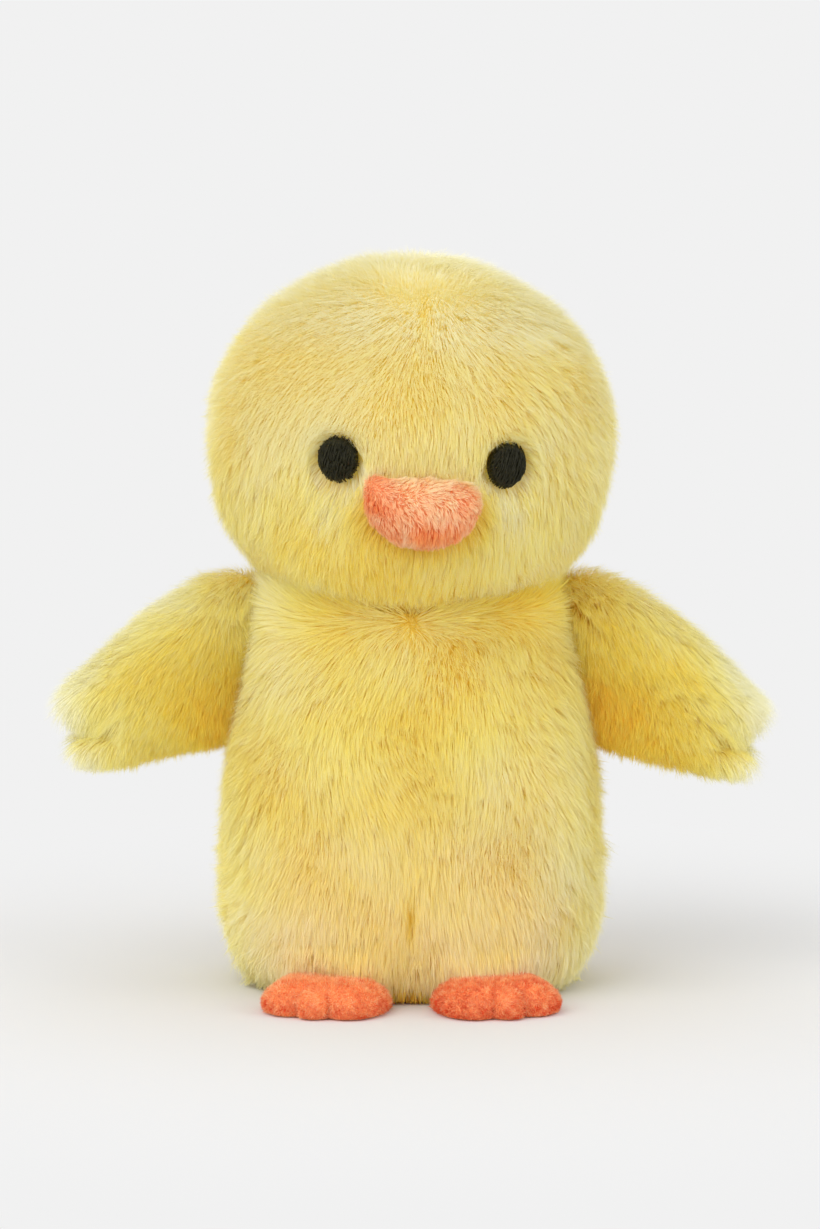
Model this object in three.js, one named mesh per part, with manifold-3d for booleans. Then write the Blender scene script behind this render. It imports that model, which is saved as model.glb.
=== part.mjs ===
// A plush chick: a round stuffed head on a barrel body, two wings, a puffed beak and two flat feet.
// Millimetres, +Z up. It faces -Y, its own left side is +X, and the origin is the middle of its flat base.
import * as THREE from "three";
import { mergeVertices } from "three/addons/utils/BufferGeometryUtils.js";
import Module from "manifold-3d";

const wasm = await Module();
wasm.setup();

// Fabrics and clearances
const fitGap = 0.3; // between two pieces that touch
const neckGap = 0.6; // round the head's underside, which turns
const furThickness = 7; // long pile with its backing
const plushThickness = 1.6; // short pile of the beak and the feet
const clothThickness = 1.2; // plain cloth of the pellet pouch
const baseThickness = 2.4; // flat fabric under the body

// Body: a barrel, widest at the hips and drawn in at the neck
const baseWidth = 73;
const bodyWidth = 90;
const bodyDepth = 76;
const hipHeight = 20;
const neckWidth = 67;
const neckHeight = 92;
const sectionPower = 2.4; // exponent of the oval sections, 2 for an ellipse
const shoulderPower = 2.4; // how late the sides draw in towards the neck

// Head: an egg that is widest across the cheeks, on a round underside
const headWidth = 95.5;
const headDepth = 88;
const crownHeight = 42; // from the head's middle to its top
const ballRadius = 49.5; // of the round underside
const ballEdge = 38; // degrees from straight down where the underside starts to change into the egg
const eggEdge = 78; // and where it has become the egg
const headTurn = 4.2; // degrees, as it sits on the body
const headRoll = 2.3;

// Ring of gathered stitching between head and body
const neckRingWidth = 5;
const neckRingThickness = 3;

// Eyes: padded satin stitch, set into the fur
const eyeWidth = 9.2;
const eyeHeight = 9.7;
const eyeThickness = 2.4;
const eyeDepth = 1.8; // how far the back of an eye lies under the fur's surface
const eyeYaw = 27; // degrees from the middle of the face
const eyePitch = -6;
// From its back to its front: shares of the thickness, and of the outline there.
const eyeProfile = [[0, 1], [0.5, 1], [0.8, 0.8], [0.95, 0.45]];

// Beak: a cushion with a flat upper edge
const beakWidth = 26.5;
const beakRise = 6; // above its middle
const beakFall = 9.5; // below its middle
const beakReach = 11;
const beakPitch = -17.4;
const beakTilt = 8.7; // degrees that it points down
const beakPower = 2.5;
const beakSeamDrop = 1; // its seam lies this far under its middle

// Wings: flat pillows with a long and a short tip
const wingRootLength = 36;
const wingNeckDistance = 1.5; // from the neck down to the upper end of the root
const wingReach = 41;
const wingDroop = 22; // the long tip hangs this far below the middle of the root
const wingLift = { left: 0, right: 3 }; // how far each wing's tips are held up from that
const wingThickness = 22;
const wingRootFade = 15; // distance over which a wing swells from its root
const notchReach = 34.5;
const notchDroop = 27.5;
const lobeReach = 33.5; // the short tip
const lobeDroop = 33.5;
const wingMiddleOut = 0.42; // where a wing is thickest, as a share of its reach
const wingMiddleDown = 0.4; // and of its droop
const wingPower = 2.6; // how late the swelling falls off towards the edge
const wingFullness = 0.6; // exponent of the swelling, fuller as it gets smaller
const wingCoreShare = 0.72; // of the outline, the part that holds stuffing
// Points on the way to each tip, as shares of the way out and of the way down from the root's end.
const wingLeading = [[0.2, -0.08], [0.62, 0.35], [0.9, 0.77]];
const wingTrailing = [[0.45, 0.66]];
const tabThickness = 1.2; // the seam tab that is caught in the body's side and rolled along the root
const tabDepth = 5;

// Feet: flat pads with three toes
const footWidth = 29;
const footLength = 22;
const footHeight = 6.5;
const footSeamHeight = 2.4; // where the sole meets the upper
const footOffset = 16.4; // from the middle of the body to the middle of a foot
const footMiddleShare = 0.45; // of the length, from the root to the middle of the pad
const toePower = 2.3; // exponent of the outline ahead of the middle
const heelPower = 4; // and behind it
const soleShare = 0.94; // of the outline, the part that lies flat
const instepPower = 0.8; // how the upper draws in as it rises
const toeDepth = 2.6;
const toePitch = 46; // degrees from toe to toe, seen from the middle of the foot

// Pellet pouch: a low bag in the middle of the base
const pouchWidth = 50;
const pouchDepth = 38;
const pouchHeight = 17;
const pouchPower = 0.7; // how the bag draws in above and below

// Fineness of the skins
const bodySegments = 28;
const headSegments = 32;
const headRows = 15;
const coreSegments = 20; // of what lies inside
const coreRows = 11;
const smallSegments = 20;
const rollSegments = 12;
const beakRows = 9;
const footSegments = 30;
const wingSegments = 22;
const wingSpreads = [0.35, 0.65, 0.85, 0.95]; // rings from a wing's middle to its edge
const wingCoreSpreads = [0.5, 0.85];
const footLifts = [32, 58, 78]; // rings up a foot's upper, in degrees
const weldDistance = 1e-4;
const farAway = 400; // larger than the whole toy, for cutting
const underBase = -1; // the lower end of a form that cuts through the base

const bodyHalf = bodyWidth / 2;
const baseHalf = baseWidth / 2;
const neckHalf = neckWidth / 2;
const depthRatio = bodyDepth / bodyWidth;
const headHeight = neckHeight + Math.sqrt(ballRadius ** 2 - neckHalf ** 2);
const footMiddle = footMiddleShare * footLength;
const toRadians = THREE.MathUtils.degToRad;

// Finishes
function finish(color, roughness) {
  return new THREE.MeshStandardMaterial({ color, roughness, metalness: 0 });
}
const yellowFur = () => finish("#e6cc78", 0.95);
const orangePlush = () => finish("#f28552", 0.9);
const beakPlush = () => finish("#f5a575", 0.9);
const blackThread = () => finish("#23221c", 0.55);
const whiteFibre = () => finish("#f2f0ea", 1);
const plainCloth = () => finish("#e4ddcc", 0.9);
const yellowThread = () => finish("#d9b657", 0.85);
const clearPellets = () => finish("#dfe3e2", 0.4);

// Solids and meshes

// Joins rings of equal length into one closed skin, with a point in the middle of each end.
function skinOver(rings, firstPole, lastPole) {
  const count = rings[0].length;
  const points = [firstPole, ...rings.flat(), lastPole];
  const last = points.length - 1;
  const at = (ring, step) => 1 + ring * count + (step % count);
  const faces = [];
  for (let step = 0; step < count; step += 1) {
    faces.push(0, at(0, step + 1), at(0, step));
    for (let ring = 0; ring < rings.length - 1; ring += 1) {
      faces.push(at(ring, step), at(ring, step + 1), at(ring + 1, step + 1));
      faces.push(at(ring, step), at(ring + 1, step + 1), at(ring + 1, step));
    }
    faces.push(last, at(rings.length - 1, step), at(rings.length - 1, step + 1));
  }
  const geometry = new THREE.BufferGeometry().setFromPoints(points);
  geometry.setIndex(faces);
  return geometry;
}

// A geometry as a closed solid whose faces point outwards.
function solidOf(geometry, placement = new THREE.Matrix4()) {
  const bare = new THREE.BufferGeometry();
  bare.setAttribute("position", geometry.getAttribute("position").clone());
  bare.setIndex(geometry.getIndex().clone());
  bare.applyMatrix4(placement);
  const welded = mergeVertices(bare, weldDistance);
  const place = welded.getAttribute("position");
  const corners = welded.getIndex().array;
  const [a, b, c] = [new THREE.Vector3(), new THREE.Vector3(), new THREE.Vector3()];
  const triangles = [];
  let volume = 0;
  for (let i = 0; i < corners.length; i += 3) {
    const [p, q, r] = corners.slice(i, i + 3);
    if (p !== q && q !== r && r !== p) {
      triangles.push([p, q, r]);
      a.fromBufferAttribute(place, p);
      b.fromBufferAttribute(place, q);
      c.fromBufferAttribute(place, r);
      volume += a.dot(b.cross(c));
    }
  }
  const outward = volume > 0 ? triangles : triangles.map(([p, q, r]) => [p, r, q]);
  return new wasm.Manifold(new wasm.Mesh({
    numProp: 3,
    vertProperties: Float32Array.from(place.array),
    triVerts: Uint32Array.from(outward.flat()),
  }));
}

function meshOf(name, solid, material) {
  const { numProp, vertProperties, triVerts } = solid.getMesh();
  const geometry = new THREE.BufferGeometry();
  const places = new THREE.InterleavedBuffer(vertProperties, numProp);
  geometry.setAttribute("position", new THREE.InterleavedBufferAttribute(places, 3, 0));
  geometry.setIndex(Array.from(triVerts));
  const mesh = new THREE.Mesh(geometry.toNonIndexed(), material);
  mesh.geometry.computeVertexNormals();
  mesh.name = name;
  return mesh;
}

// A box between two corners.
function block(low, high) {
  const size = new THREE.Vector3().subVectors(high, low);
  const middle = new THREE.Vector3().addVectors(low, high).multiplyScalar(0.5);
  const geometry = new THREE.BoxGeometry(size.x, size.y, size.z);
  return solidOf(geometry, new THREE.Matrix4().setPosition(middle));
}

// The quarter of space on one side of the middle seam and one side of the side seams.
function quarter(sideX, sideY) {
  const seam = fitGap / 2;
  const spanX = sideX > 0 ? [seam, farAway] : [-farAway, -seam];
  const spanY = sideY > 0 ? [seam, farAway] : [-farAway, -seam];
  return block(
    new THREE.Vector3(spanX[0], spanY[0], -farAway),
    new THREE.Vector3(spanX[1], spanY[1], farAway),
  );
}

// The half of space above or below a height.
function half(height, side) {
  const span = side > 0 ? [height, farAway] : [-farAway, height];
  return block(
    new THREE.Vector3(-farAway, -farAway, span[0]),
    new THREE.Vector3(farAway, farAway, span[1]),
  );
}

// The half of space in front of (side -1) or behind (side 1) the plane y = 0, clear of the seam.
function halfDepth(side) {
  const seam = fitGap / 2;
  const span = side > 0 ? [seam, farAway] : [-farAway, -seam];
  return block(
    new THREE.Vector3(-farAway, span[0], -farAway),
    new THREE.Vector3(farAway, span[1], farAway),
  );
}

const signedPower = (value, power) => Math.sign(value) * Math.abs(value) ** power;

// An oval ring of the given half axes at one height.
function ovalRing(halfWidth, halfDepthOfRing, height, count, power = 2) {
  return Array.from({ length: count }, (_, step) => {
    const angle = (step / count) * 2 * Math.PI;
    return new THREE.Vector3(
      halfWidth * signedPower(Math.cos(angle), 2 / power),
      halfDepthOfRing * signedPower(Math.sin(angle), 2 / power),
      height,
    );
  });
}

// Body

// Half the body's width: a quarter ellipse up to the hips, then a power curve in to the neck.
function bodyHalfWidth(height) {
  if (height < hipHeight) {
    const below = 1 - Math.max(height, 0) / hipHeight;
    return baseHalf + (bodyHalf - baseHalf) * Math.sqrt(1 - below ** 2);
  }
  const climb = (height - hipHeight) / (neckHeight - hipHeight);
  return bodyHalf - (bodyHalf - neckHalf) * climb ** shoulderPower;
}

// The body's outer form drawn in by an inset, closed by flat ends. It runs on past the neck.
function bodyForm(inset, lowest = 0, segments = bodySegments) {
  const lowerSteps = 5;
  const upperSteps = 7;
  const pastNeck = 0.2;
  const top = THREE.MathUtils.lerp(neckHeight, headHeight, pastNeck);
  const heights = [];
  if (lowest < 0) {
    heights.push(lowest);
  }
  for (let step = 0; step < lowerSteps; step += 1) {
    heights.push(hipHeight * (1 - Math.cos((step / lowerSteps) * Math.PI / 2)));
  }
  for (let step = 0; step <= upperSteps; step += 1) {
    heights.push(THREE.MathUtils.lerp(hipHeight, top, step / upperSteps));
  }
  const rings = heights.map((height) => {
    const wide = bodyHalfWidth(height) - inset;
    const deep = bodyHalfWidth(height) * depthRatio - inset;
    return ovalRing(wide, deep, height, segments, sectionPower);
  });
  return skinOver(rings, new THREE.Vector3(0, 0, heights[0]), new THREE.Vector3(0, 0, top));
}

// The ball of space that the head's underside turns in.
function headSocket(clearance) {
  const geometry = new THREE.SphereGeometry(ballRadius + clearance, headSegments, headSegments / 2);
  geometry.rotateX(Math.PI / 2);
  return solidOf(geometry, new THREE.Matrix4().setPosition(0, 0, headHeight));
}

const wingRootTop = neckHeight - wingNeckDistance;
const wingRootBottom = wingRootTop - wingRootLength;

// The place of a wing's root: the chord of the body's side, moved out past its bulge by the fit gap.
// Its x runs out from the body and its z up along the root.
function wingPlacement() {
  const bottom = new THREE.Vector2(bodyHalfWidth(wingRootBottom), wingRootBottom);
  const top = new THREE.Vector2(bodyHalfWidth(wingRootTop), wingRootTop);
  const tilt = Math.atan2(bottom.x - top.x, wingRootLength);
  const samples = 20;
  let bulge = 0;
  for (let step = 0; step <= samples; step += 1) {
    const height = THREE.MathUtils.lerp(wingRootBottom, wingRootTop, step / samples);
    const chord = THREE.MathUtils.lerp(bottom.x, top.x, step / samples);
    bulge = Math.max(bulge, bodyHalfWidth(height) - chord);
  }
  const middle = bottom.clone().lerp(top, 0.5);
  const out = middle.x + bulge + fitGap / Math.cos(tilt);
  return new THREE.Matrix4().makeRotationY(-tilt).setPosition(out, 0, middle.y);
}

// A round bar along a wing's root.
function rootRoll(radius, length, placement) {
  const geometry = new THREE.CylinderGeometry(radius, radius, length, rollSegments);
  geometry.rotateX(Math.PI / 2);
  return solidOf(geometry, placement);
}

// A wing's seam tab, with a clearance: a strip in the side seam that ends in a roll along the wing's root.
function tabForm(sideX, clearance) {
  const placement = new THREE.Matrix4().makeScale(sideX, 1, 1).multiply(wingPlacement());
  const across = tabThickness / 2 + clearance;
  const along = wingRootLength / 2 + clearance;
  const inner = -2 * tabDepth;
  const geometry = new THREE.BoxGeometry(-inner, 2 * across, 2 * along);
  geometry.translate(inner / 2, 0, 0);
  return solidOf(geometry, placement)
    .add(rootRoll(across, 2 * along, placement))
    .subtract(solidOf(bodyForm(tabDepth + clearance, underBase)));
}

function pouchForm(inset) {
  const steps = 8;
  const rings = [];
  const middle = baseThickness + fitGap + pouchHeight / 2;
  const rise = pouchHeight / 2 - inset;
  for (let step = 1; step < steps; step += 1) {
    const lift = (step / steps - 0.5) * Math.PI;
    const spread = Math.cos(lift) ** pouchPower;
    rings.push(ovalRing(
      (pouchWidth / 2 - inset) * spread,
      (pouchDepth / 2 - inset) * spread,
      middle + rise * Math.sin(lift),
      smallSegments,
    ));
  }
  const low = new THREE.Vector3(0, 0, middle - rise);
  const high = new THREE.Vector3(0, 0, middle + rise);
  return solidOf(skinOver(rings, low, high));
}

function makeBody() {
  const group = new THREE.Group();
  const outer = solidOf(bodyForm(0));
  const socket = headSocket(neckGap);
  const cover = outer
    .subtract(socket)
    .subtract(solidOf(bodyForm(furThickness, underBase)))
    .subtract(tabForm(1, fitGap))
    .subtract(tabForm(-1, fitGap))
    .intersect(half(baseThickness + fitGap, 1));
  for (const [place, sideY] of [["front", -1], ["back", 1]]) {
    for (const [side, sideX] of [["left", 1], ["right", -1]]) {
      const panel = cover.intersect(quarter(sideX, sideY));
      group.add(meshOf(`body_${place}_${side}`, panel, yellowFur()));
    }
  }
  group.add(meshOf("base_panel", outer.intersect(half(baseThickness, -1)), yellowFur()));
  for (const [side, sideX] of [["left", 1], ["right", -1]]) {
    group.add(meshOf(`wing_tab_${side}`, tabForm(sideX, 0).subtract(socket), yellowFur()));
  }
  const stuffing = solidOf(bodyForm(furThickness + fitGap, 0, coreSegments))
    .intersect(half(baseThickness + fitGap, 1))
    .subtract(headSocket(neckGap + neckRingThickness + fitGap))
    .subtract(pouchForm(-fitGap));
  group.add(meshOf("body_stuffing", stuffing, whiteFibre()));
  const pouch = pouchForm(0).subtract(pouchForm(clothThickness));
  const pouchMiddle = baseThickness + fitGap + pouchHeight / 2;
  const pouchTop = pouch.intersect(half(pouchMiddle + fitGap / 2, 1));
  const pouchBottom = pouch.intersect(half(pouchMiddle - fitGap / 2, -1));
  group.add(meshOf("pouch_top", pouchTop, plainCloth()));
  group.add(meshOf("pouch_bottom", pouchBottom, plainCloth()));
  group.add(meshOf("pouch_pellets", pouchForm(clothThickness + fitGap), clearPellets()));
  return group;
}

// Neck

// A ring under the head, between two spheres round the head's middle.
function makeNeckRing() {
  const innerRadius = ballRadius + neckGap / 2;
  const outerRadius = innerRadius + neckRingThickness;
  const wide = neckHalf * depthRatio - furThickness - fitGap;
  const edges = [wide - neckRingWidth, wide - neckRingWidth / 2, wide];
  const lower = edges.map((radius) => new THREE.Vector2(radius, -Math.sqrt(outerRadius ** 2 - radius ** 2)));
  const upper = edges.map((radius) => new THREE.Vector2(radius, -Math.sqrt(innerRadius ** 2 - radius ** 2)));
  const profile = [...lower, ...upper.reverse(), lower[0]];
  const geometry = new THREE.LatheGeometry(profile, headSegments);
  geometry.rotateX(Math.PI / 2);
  const mesh = meshOf("neck_seam_ring", solidOf(geometry), yellowThread());
  mesh.position.z = headHeight;
  return mesh;
}

// Head, in its own frame with the origin at its middle

// Distance from the head's middle to its surface: an egg above that changes into a ball below.
function headRadius(direction) {
  const deep = direction.z > 0 ? crownHeight : ballRadius;
  const egg = 1 / Math.hypot(
    direction.x / (headWidth / 2),
    direction.y / (headDepth / 2),
    direction.z / deep,
  );
  const fromBelow = THREE.MathUtils.radToDeg(Math.acos(-direction.z));
  return THREE.MathUtils.lerp(ballRadius, egg, THREE.MathUtils.smoothstep(fromBelow, ballEdge, eggEdge));
}

function headForm(inset, rows, columns) {
  const onSkin = (polar, angle) => {
    const level = Math.sin(polar);
    const direction = new THREE.Vector3(
      level * Math.cos(angle),
      level * Math.sin(angle),
      -Math.cos(polar),
    );
    return direction.multiplyScalar(headRadius(direction) - inset);
  };
  const rings = [];
  for (let row = 1; row < rows; row += 1) {
    const polar = (row / rows) * Math.PI;
    const ring = Array.from({ length: columns }, (_, step) => onSkin(polar, (step / columns) * 2 * Math.PI));
    rings.push(ring);
  }
  return solidOf(skinOver(rings, onSkin(0, 0), onSkin(Math.PI, 0)));
}

// The direction on the face at a yaw from its middle (towards +X) and a pitch.
function faceDirection(yaw, pitch) {
  const level = Math.cos(toRadians(pitch));
  return new THREE.Vector3(
    level * Math.sin(toRadians(yaw)),
    -level * Math.cos(toRadians(yaw)),
    Math.sin(toRadians(pitch)),
  );
}

// The placement of an eye: its back lies under the surface, its own z points out and its own y up.
function eyePlacement(yaw) {
  const out = faceDirection(yaw, eyePitch);
  const middle = out.clone().multiplyScalar(headRadius(out) - eyeDepth);
  const across = new THREE.Vector3(0, 0, 1).cross(out).normalize();
  const up = new THREE.Vector3().crossVectors(out, across);
  return new THREE.Matrix4().makeBasis(across, up, out).setPosition(middle);
}

function eyeForm() {
  const rings = eyeProfile.map(([rise, spread]) => (
    ovalRing((eyeWidth / 2) * spread, (eyeHeight / 2) * spread, rise * eyeThickness, smallSegments)
  ));
  return skinOver(rings, new THREE.Vector3(), new THREE.Vector3(0, 0, eyeThickness));
}

// The well in the fur that an eye sits in, with the fit gap all round.
function eyeWell() {
  const top = eyeThickness + furThickness;
  const rings = [-fitGap, top].map((height) => (
    ovalRing(eyeWidth / 2 + fitGap, eyeHeight / 2 + fitGap, height, smallSegments)
  ));
  const low = new THREE.Vector3(0, 0, -fitGap);
  const high = new THREE.Vector3(0, 0, top);
  return skinOver(rings, low, high);
}

// The beak's cushion: a rounded box in three powers, flatter above its middle than below.
function beakForm(inset, rows, columns) {
  const onSkin = (polar, angle) => {
    const level = Math.sin(polar);
    const rise = Math.cos(polar) < 0 ? beakFall : beakRise;
    const direction = new THREE.Vector3(level * Math.cos(angle), level * Math.sin(angle), Math.cos(polar));
    const size = (
      Math.abs(direction.x / (beakWidth / 2 - inset)) ** beakPower
      + Math.abs(direction.y / (beakReach - inset)) ** beakPower
      + Math.abs(direction.z / (rise - inset)) ** beakPower
    );
    return direction.multiplyScalar(size ** (-1 / beakPower));
  };
  const rings = [];
  for (let row = 1; row < rows; row += 1) {
    const polar = (1 - row / rows) * Math.PI;
    const ring = Array.from({ length: columns }, (_, step) => onSkin(polar, (step / columns) * 2 * Math.PI));
    rings.push(ring);
  }
  return skinOver(rings, onSkin(Math.PI, 0), onSkin(0, 0));
}

function makeBeak(group) {
  const out = faceDirection(0, beakPitch);
  const place = new THREE.Matrix4().makeRotationX(toRadians(beakTilt));
  place.setPosition(out.clone().multiplyScalar(headRadius(out)));
  const face = headForm(-fitGap, headRows, headSegments);
  const outer = solidOf(beakForm(0, beakRows, smallSegments), place).subtract(face);
  const inner = solidOf(beakForm(plushThickness, beakRows, smallSegments), place);
  const filling = solidOf(beakForm(plushThickness + fitGap, beakRows, smallSegments), place).subtract(face);
  const cover = outer.subtract(inner);
  const seam = out.z * headRadius(out) - beakSeamDrop;
  group.add(meshOf("beak_upper", cover.intersect(half(seam + fitGap / 2, 1)), beakPlush()));
  group.add(meshOf("beak_lower", cover.intersect(half(seam - fitGap / 2, -1)), beakPlush()));
  group.add(meshOf("beak_stuffing", filling, whiteFibre()));
}

function makeHead() {
  const group = new THREE.Group();
  const eyes = [["left", eyeYaw], ["right", -eyeYaw]];
  let cover = headForm(0, headRows, headSegments)
    .subtract(headForm(furThickness, coreRows, coreSegments));
  for (const [side, yaw] of eyes) {
    const placement = eyePlacement(yaw);
    cover = cover.subtract(solidOf(eyeWell(), placement));
    const eye = meshOf(`eye_${side}`, solidOf(eyeForm()), blackThread());
    eye.applyMatrix4(placement);
    group.add(eye);
  }
  for (const [place, sideY] of [["front", -1], ["back", 1]]) {
    for (const [side, sideX] of [["left", 1], ["right", -1]]) {
      const panel = cover.intersect(quarter(sideX, sideY));
      group.add(meshOf(`head_${place}_${side}`, panel, yellowFur()));
    }
  }
  const stuffing = headForm(furThickness + fitGap, coreRows, coreSegments);
  group.add(meshOf("head_stuffing", stuffing, whiteFibre()));
  makeBeak(group);
  group.position.z = headHeight;
  group.rotation.set(0, toRadians(headRoll), toRadians(headTurn), "ZYX");
  return group;
}

// Wings, in their own frame: x runs out from the root, z up along it, and y through the wing

// The wing's outline: the straight root, then a smooth free edge over both tips.
function wingOutline(lift) {
  const rootHalf = wingRootLength / 2;
  const tip = new THREE.Vector2(wingReach, lift - wingDroop);
  const lobe = new THREE.Vector2(lobeReach, lift - lobeDroop);
  const leading = wingLeading.map(([out, down]) => (
    new THREE.Vector2(out * tip.x, THREE.MathUtils.lerp(rootHalf, tip.y, down))
  ));
  const trailing = wingTrailing.map(([out, down]) => (
    new THREE.Vector2(out * lobe.x, THREE.MathUtils.lerp(-rootHalf, lobe.y, down))
  ));
  const edge = new THREE.SplineCurve([
    new THREE.Vector2(0, rootHalf),
    ...leading,
    tip,
    new THREE.Vector2(notchReach, lift - notchDroop),
    lobe,
    ...trailing,
    new THREE.Vector2(0, -rootHalf),
  ]);
  const rootSteps = 5;
  const root = Array.from({ length: rootSteps - 1 }, (_, step) => (
    new THREE.Vector2(0, rootHalf * (2 * (step + 1) / rootSteps - 1))
  ));
  return [...edge.getPoints(wingSegments - 1), ...root];
}

// A wing pillow: rings of the outline, swelling as (1 - spread^power)^fullness and from the root.
function wingForm(lift, shrink, thickness, spreads) {
  const outline = wingOutline(lift);
  const middle = new THREE.Vector2(wingMiddleOut * wingReach, wingMiddleDown * (lift - wingDroop));
  const ringAt = (spread, side) => outline.map((point) => {
    const place = middle.clone().lerp(point, spread * shrink);
    const fromRoot = Math.min(1, place.x / wingRootFade);
    const swell = (1 - spread ** wingPower) ** wingFullness;
    return new THREE.Vector3(place.x, side * (thickness / 2) * swell * fromRoot, place.y);
  });
  const front = spreads.map((spread) => ringAt(spread, -1));
  const back = spreads.map((spread) => ringAt(spread, 1)).reverse();
  const rings = [...front, ringAt(1, 0), ...back];
  const poleAt = (side) => new THREE.Vector3(middle.x, side * (thickness / 2), middle.y);
  return solidOf(skinOver(rings, poleAt(-1), poleAt(1)));
}

function makeWing(side) {
  const group = new THREE.Group();
  const lift = wingLift[side];
  const innerThickness = wingThickness - 2 * furThickness;
  const cover = wingForm(lift, 1, wingThickness, wingSpreads)
    .subtract(wingForm(lift, wingCoreShare, innerThickness, wingCoreSpreads))
    .subtract(rootRoll(tabThickness / 2 + fitGap, 2 * wingRootLength));
  group.add(meshOf(`wing_front_${side}`, cover.intersect(halfDepth(-1)), yellowFur()));
  group.add(meshOf(`wing_back_${side}`, cover.intersect(halfDepth(1)), yellowFur()));
  const fillingShare = wingCoreShare - fitGap / (wingRootLength / 2);
  const filling = wingForm(lift, fillingShare, innerThickness - 2 * fitGap, wingCoreSpreads);
  group.add(meshOf(`wing_stuffing_${side}`, filling, whiteFibre()));
  group.applyMatrix4(wingPlacement());
  return group;
}

// Feet, in their own frame: the origin is the middle of the root on the floor, and -y runs forward

// The foot's outline: a rounded pad, nearly straight at its root, with scallops between three toes.
function footOutline(inset, count) {
  return Array.from({ length: count }, (_, step) => {
    const angle = (step / count - 0.5) * 2 * Math.PI;
    const across = Math.sin(angle);
    const ahead = Math.cos(angle);
    const power = ahead > 0 ? toePower : heelPower;
    const long = ahead > 0 ? footLength - footMiddle : footMiddle;
    const reach = (
      Math.abs(across / (footWidth / 2)) ** power + Math.abs(ahead / long) ** power
    ) ** (-1 / power);
    const turns = THREE.MathUtils.radToDeg(Math.abs(angle)) / toePitch;
    const scallop = turns < 1 ? toeDepth * (1 - Math.abs(Math.cos(turns * Math.PI))) : 0;
    const radius = reach - scallop - inset;
    return new THREE.Vector2(radius * across, -footMiddle - radius * ahead);
  });
}

// A foot pad: flat below, rounded over the toes, drawn in by an inset.
function footForm(inset) {
  const outline = footOutline(inset, footSegments);
  const middle = new THREE.Vector2(0, -footMiddle);
  const ringAt = (spread, height) => outline.map((point) => {
    const place = middle.clone().lerp(point, spread);
    return new THREE.Vector3(place.x, place.y, height);
  });
  const crown = footHeight - inset - footSeamHeight;
  const rings = [ringAt(soleShare, inset), ringAt(1, footSeamHeight)];
  for (const lift of footLifts) {
    const spread = Math.cos(toRadians(lift)) ** instepPower;
    rings.push(ringAt(spread, footSeamHeight + crown * Math.sin(toRadians(lift))));
  }
  const low = new THREE.Vector3(middle.x, middle.y, inset);
  const high = new THREE.Vector3(middle.x, middle.y, footHeight - inset);
  return solidOf(skinOver(rings, low, high));
}

// The place of a foot: its root lies along the edge of the base, and it points square away from it.
function footPlacement() {
  const share = footOffset / baseHalf;
  const deep = baseHalf * depthRatio * (1 - share ** sectionPower) ** (1 / sectionPower);
  const slope = new THREE.Vector2(
    share ** (sectionPower - 1) / baseHalf,
    (deep / (baseHalf * depthRatio)) ** (sectionPower - 1) / (baseHalf * depthRatio),
  ).normalize();
  const splay = Math.atan2(slope.x, slope.y);
  const place = new THREE.Vector3(footOffset + fitGap * slope.x, -deep - fitGap * slope.y, 0);
  return { place, splay };
}

function makeFoot(side) {
  const group = new THREE.Group();
  const { place, splay } = footPlacement();
  group.position.copy(place);
  group.rotation.z = splay;
  group.updateMatrix();
  const body = solidOf(bodyForm(-fitGap, underBase), group.matrix.clone().invert());
  const cover = footForm(0).subtract(footForm(plushThickness)).subtract(body);
  const upper = cover.intersect(half(footSeamHeight + fitGap / 2, 1));
  const sole = cover.intersect(half(footSeamHeight - fitGap / 2, -1));
  group.add(meshOf(`foot_upper_${side}`, upper, orangePlush()));
  group.add(meshOf(`foot_sole_${side}`, sole, orangePlush()));
  const padding = footForm(plushThickness + fitGap).subtract(body);
  group.add(meshOf(`foot_padding_${side}`, padding, whiteFibre()));
  return group;
}

// One side's copy of a limb: the left as it is made, the right mirrored in the middle plane.
function onSide(side, limb) {
  const group = new THREE.Group();
  group.scale.x = side === "left" ? 1 : -1;
  group.add(limb);
  return group;
}

const chick = new THREE.Group();
chick.add(makeBody());
chick.add(makeNeckRing());
chick.add(makeHead());
for (const side of ["left", "right"]) {
  chick.add(onSide(side, makeWing(side)));
  chick.add(onSide(side, makeFoot(side)));
}

export default chick;
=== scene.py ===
import bpy
import numpy as np
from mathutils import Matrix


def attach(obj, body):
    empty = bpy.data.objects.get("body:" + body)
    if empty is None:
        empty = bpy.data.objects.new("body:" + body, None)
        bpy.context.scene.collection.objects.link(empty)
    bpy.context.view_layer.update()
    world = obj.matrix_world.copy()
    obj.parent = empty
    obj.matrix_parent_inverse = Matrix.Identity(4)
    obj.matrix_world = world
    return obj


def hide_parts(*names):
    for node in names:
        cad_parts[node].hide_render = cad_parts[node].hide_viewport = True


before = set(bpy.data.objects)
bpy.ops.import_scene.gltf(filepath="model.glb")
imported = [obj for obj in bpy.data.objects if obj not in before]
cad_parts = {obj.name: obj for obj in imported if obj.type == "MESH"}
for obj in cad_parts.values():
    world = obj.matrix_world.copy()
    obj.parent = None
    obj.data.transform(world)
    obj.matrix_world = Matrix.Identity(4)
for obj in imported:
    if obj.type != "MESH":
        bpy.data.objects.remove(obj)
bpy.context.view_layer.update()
print("frame loaded:", len(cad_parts), "solids")

# All shapes below are in millimetres and go into their meshes in metres.
metre = 0.001


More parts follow.
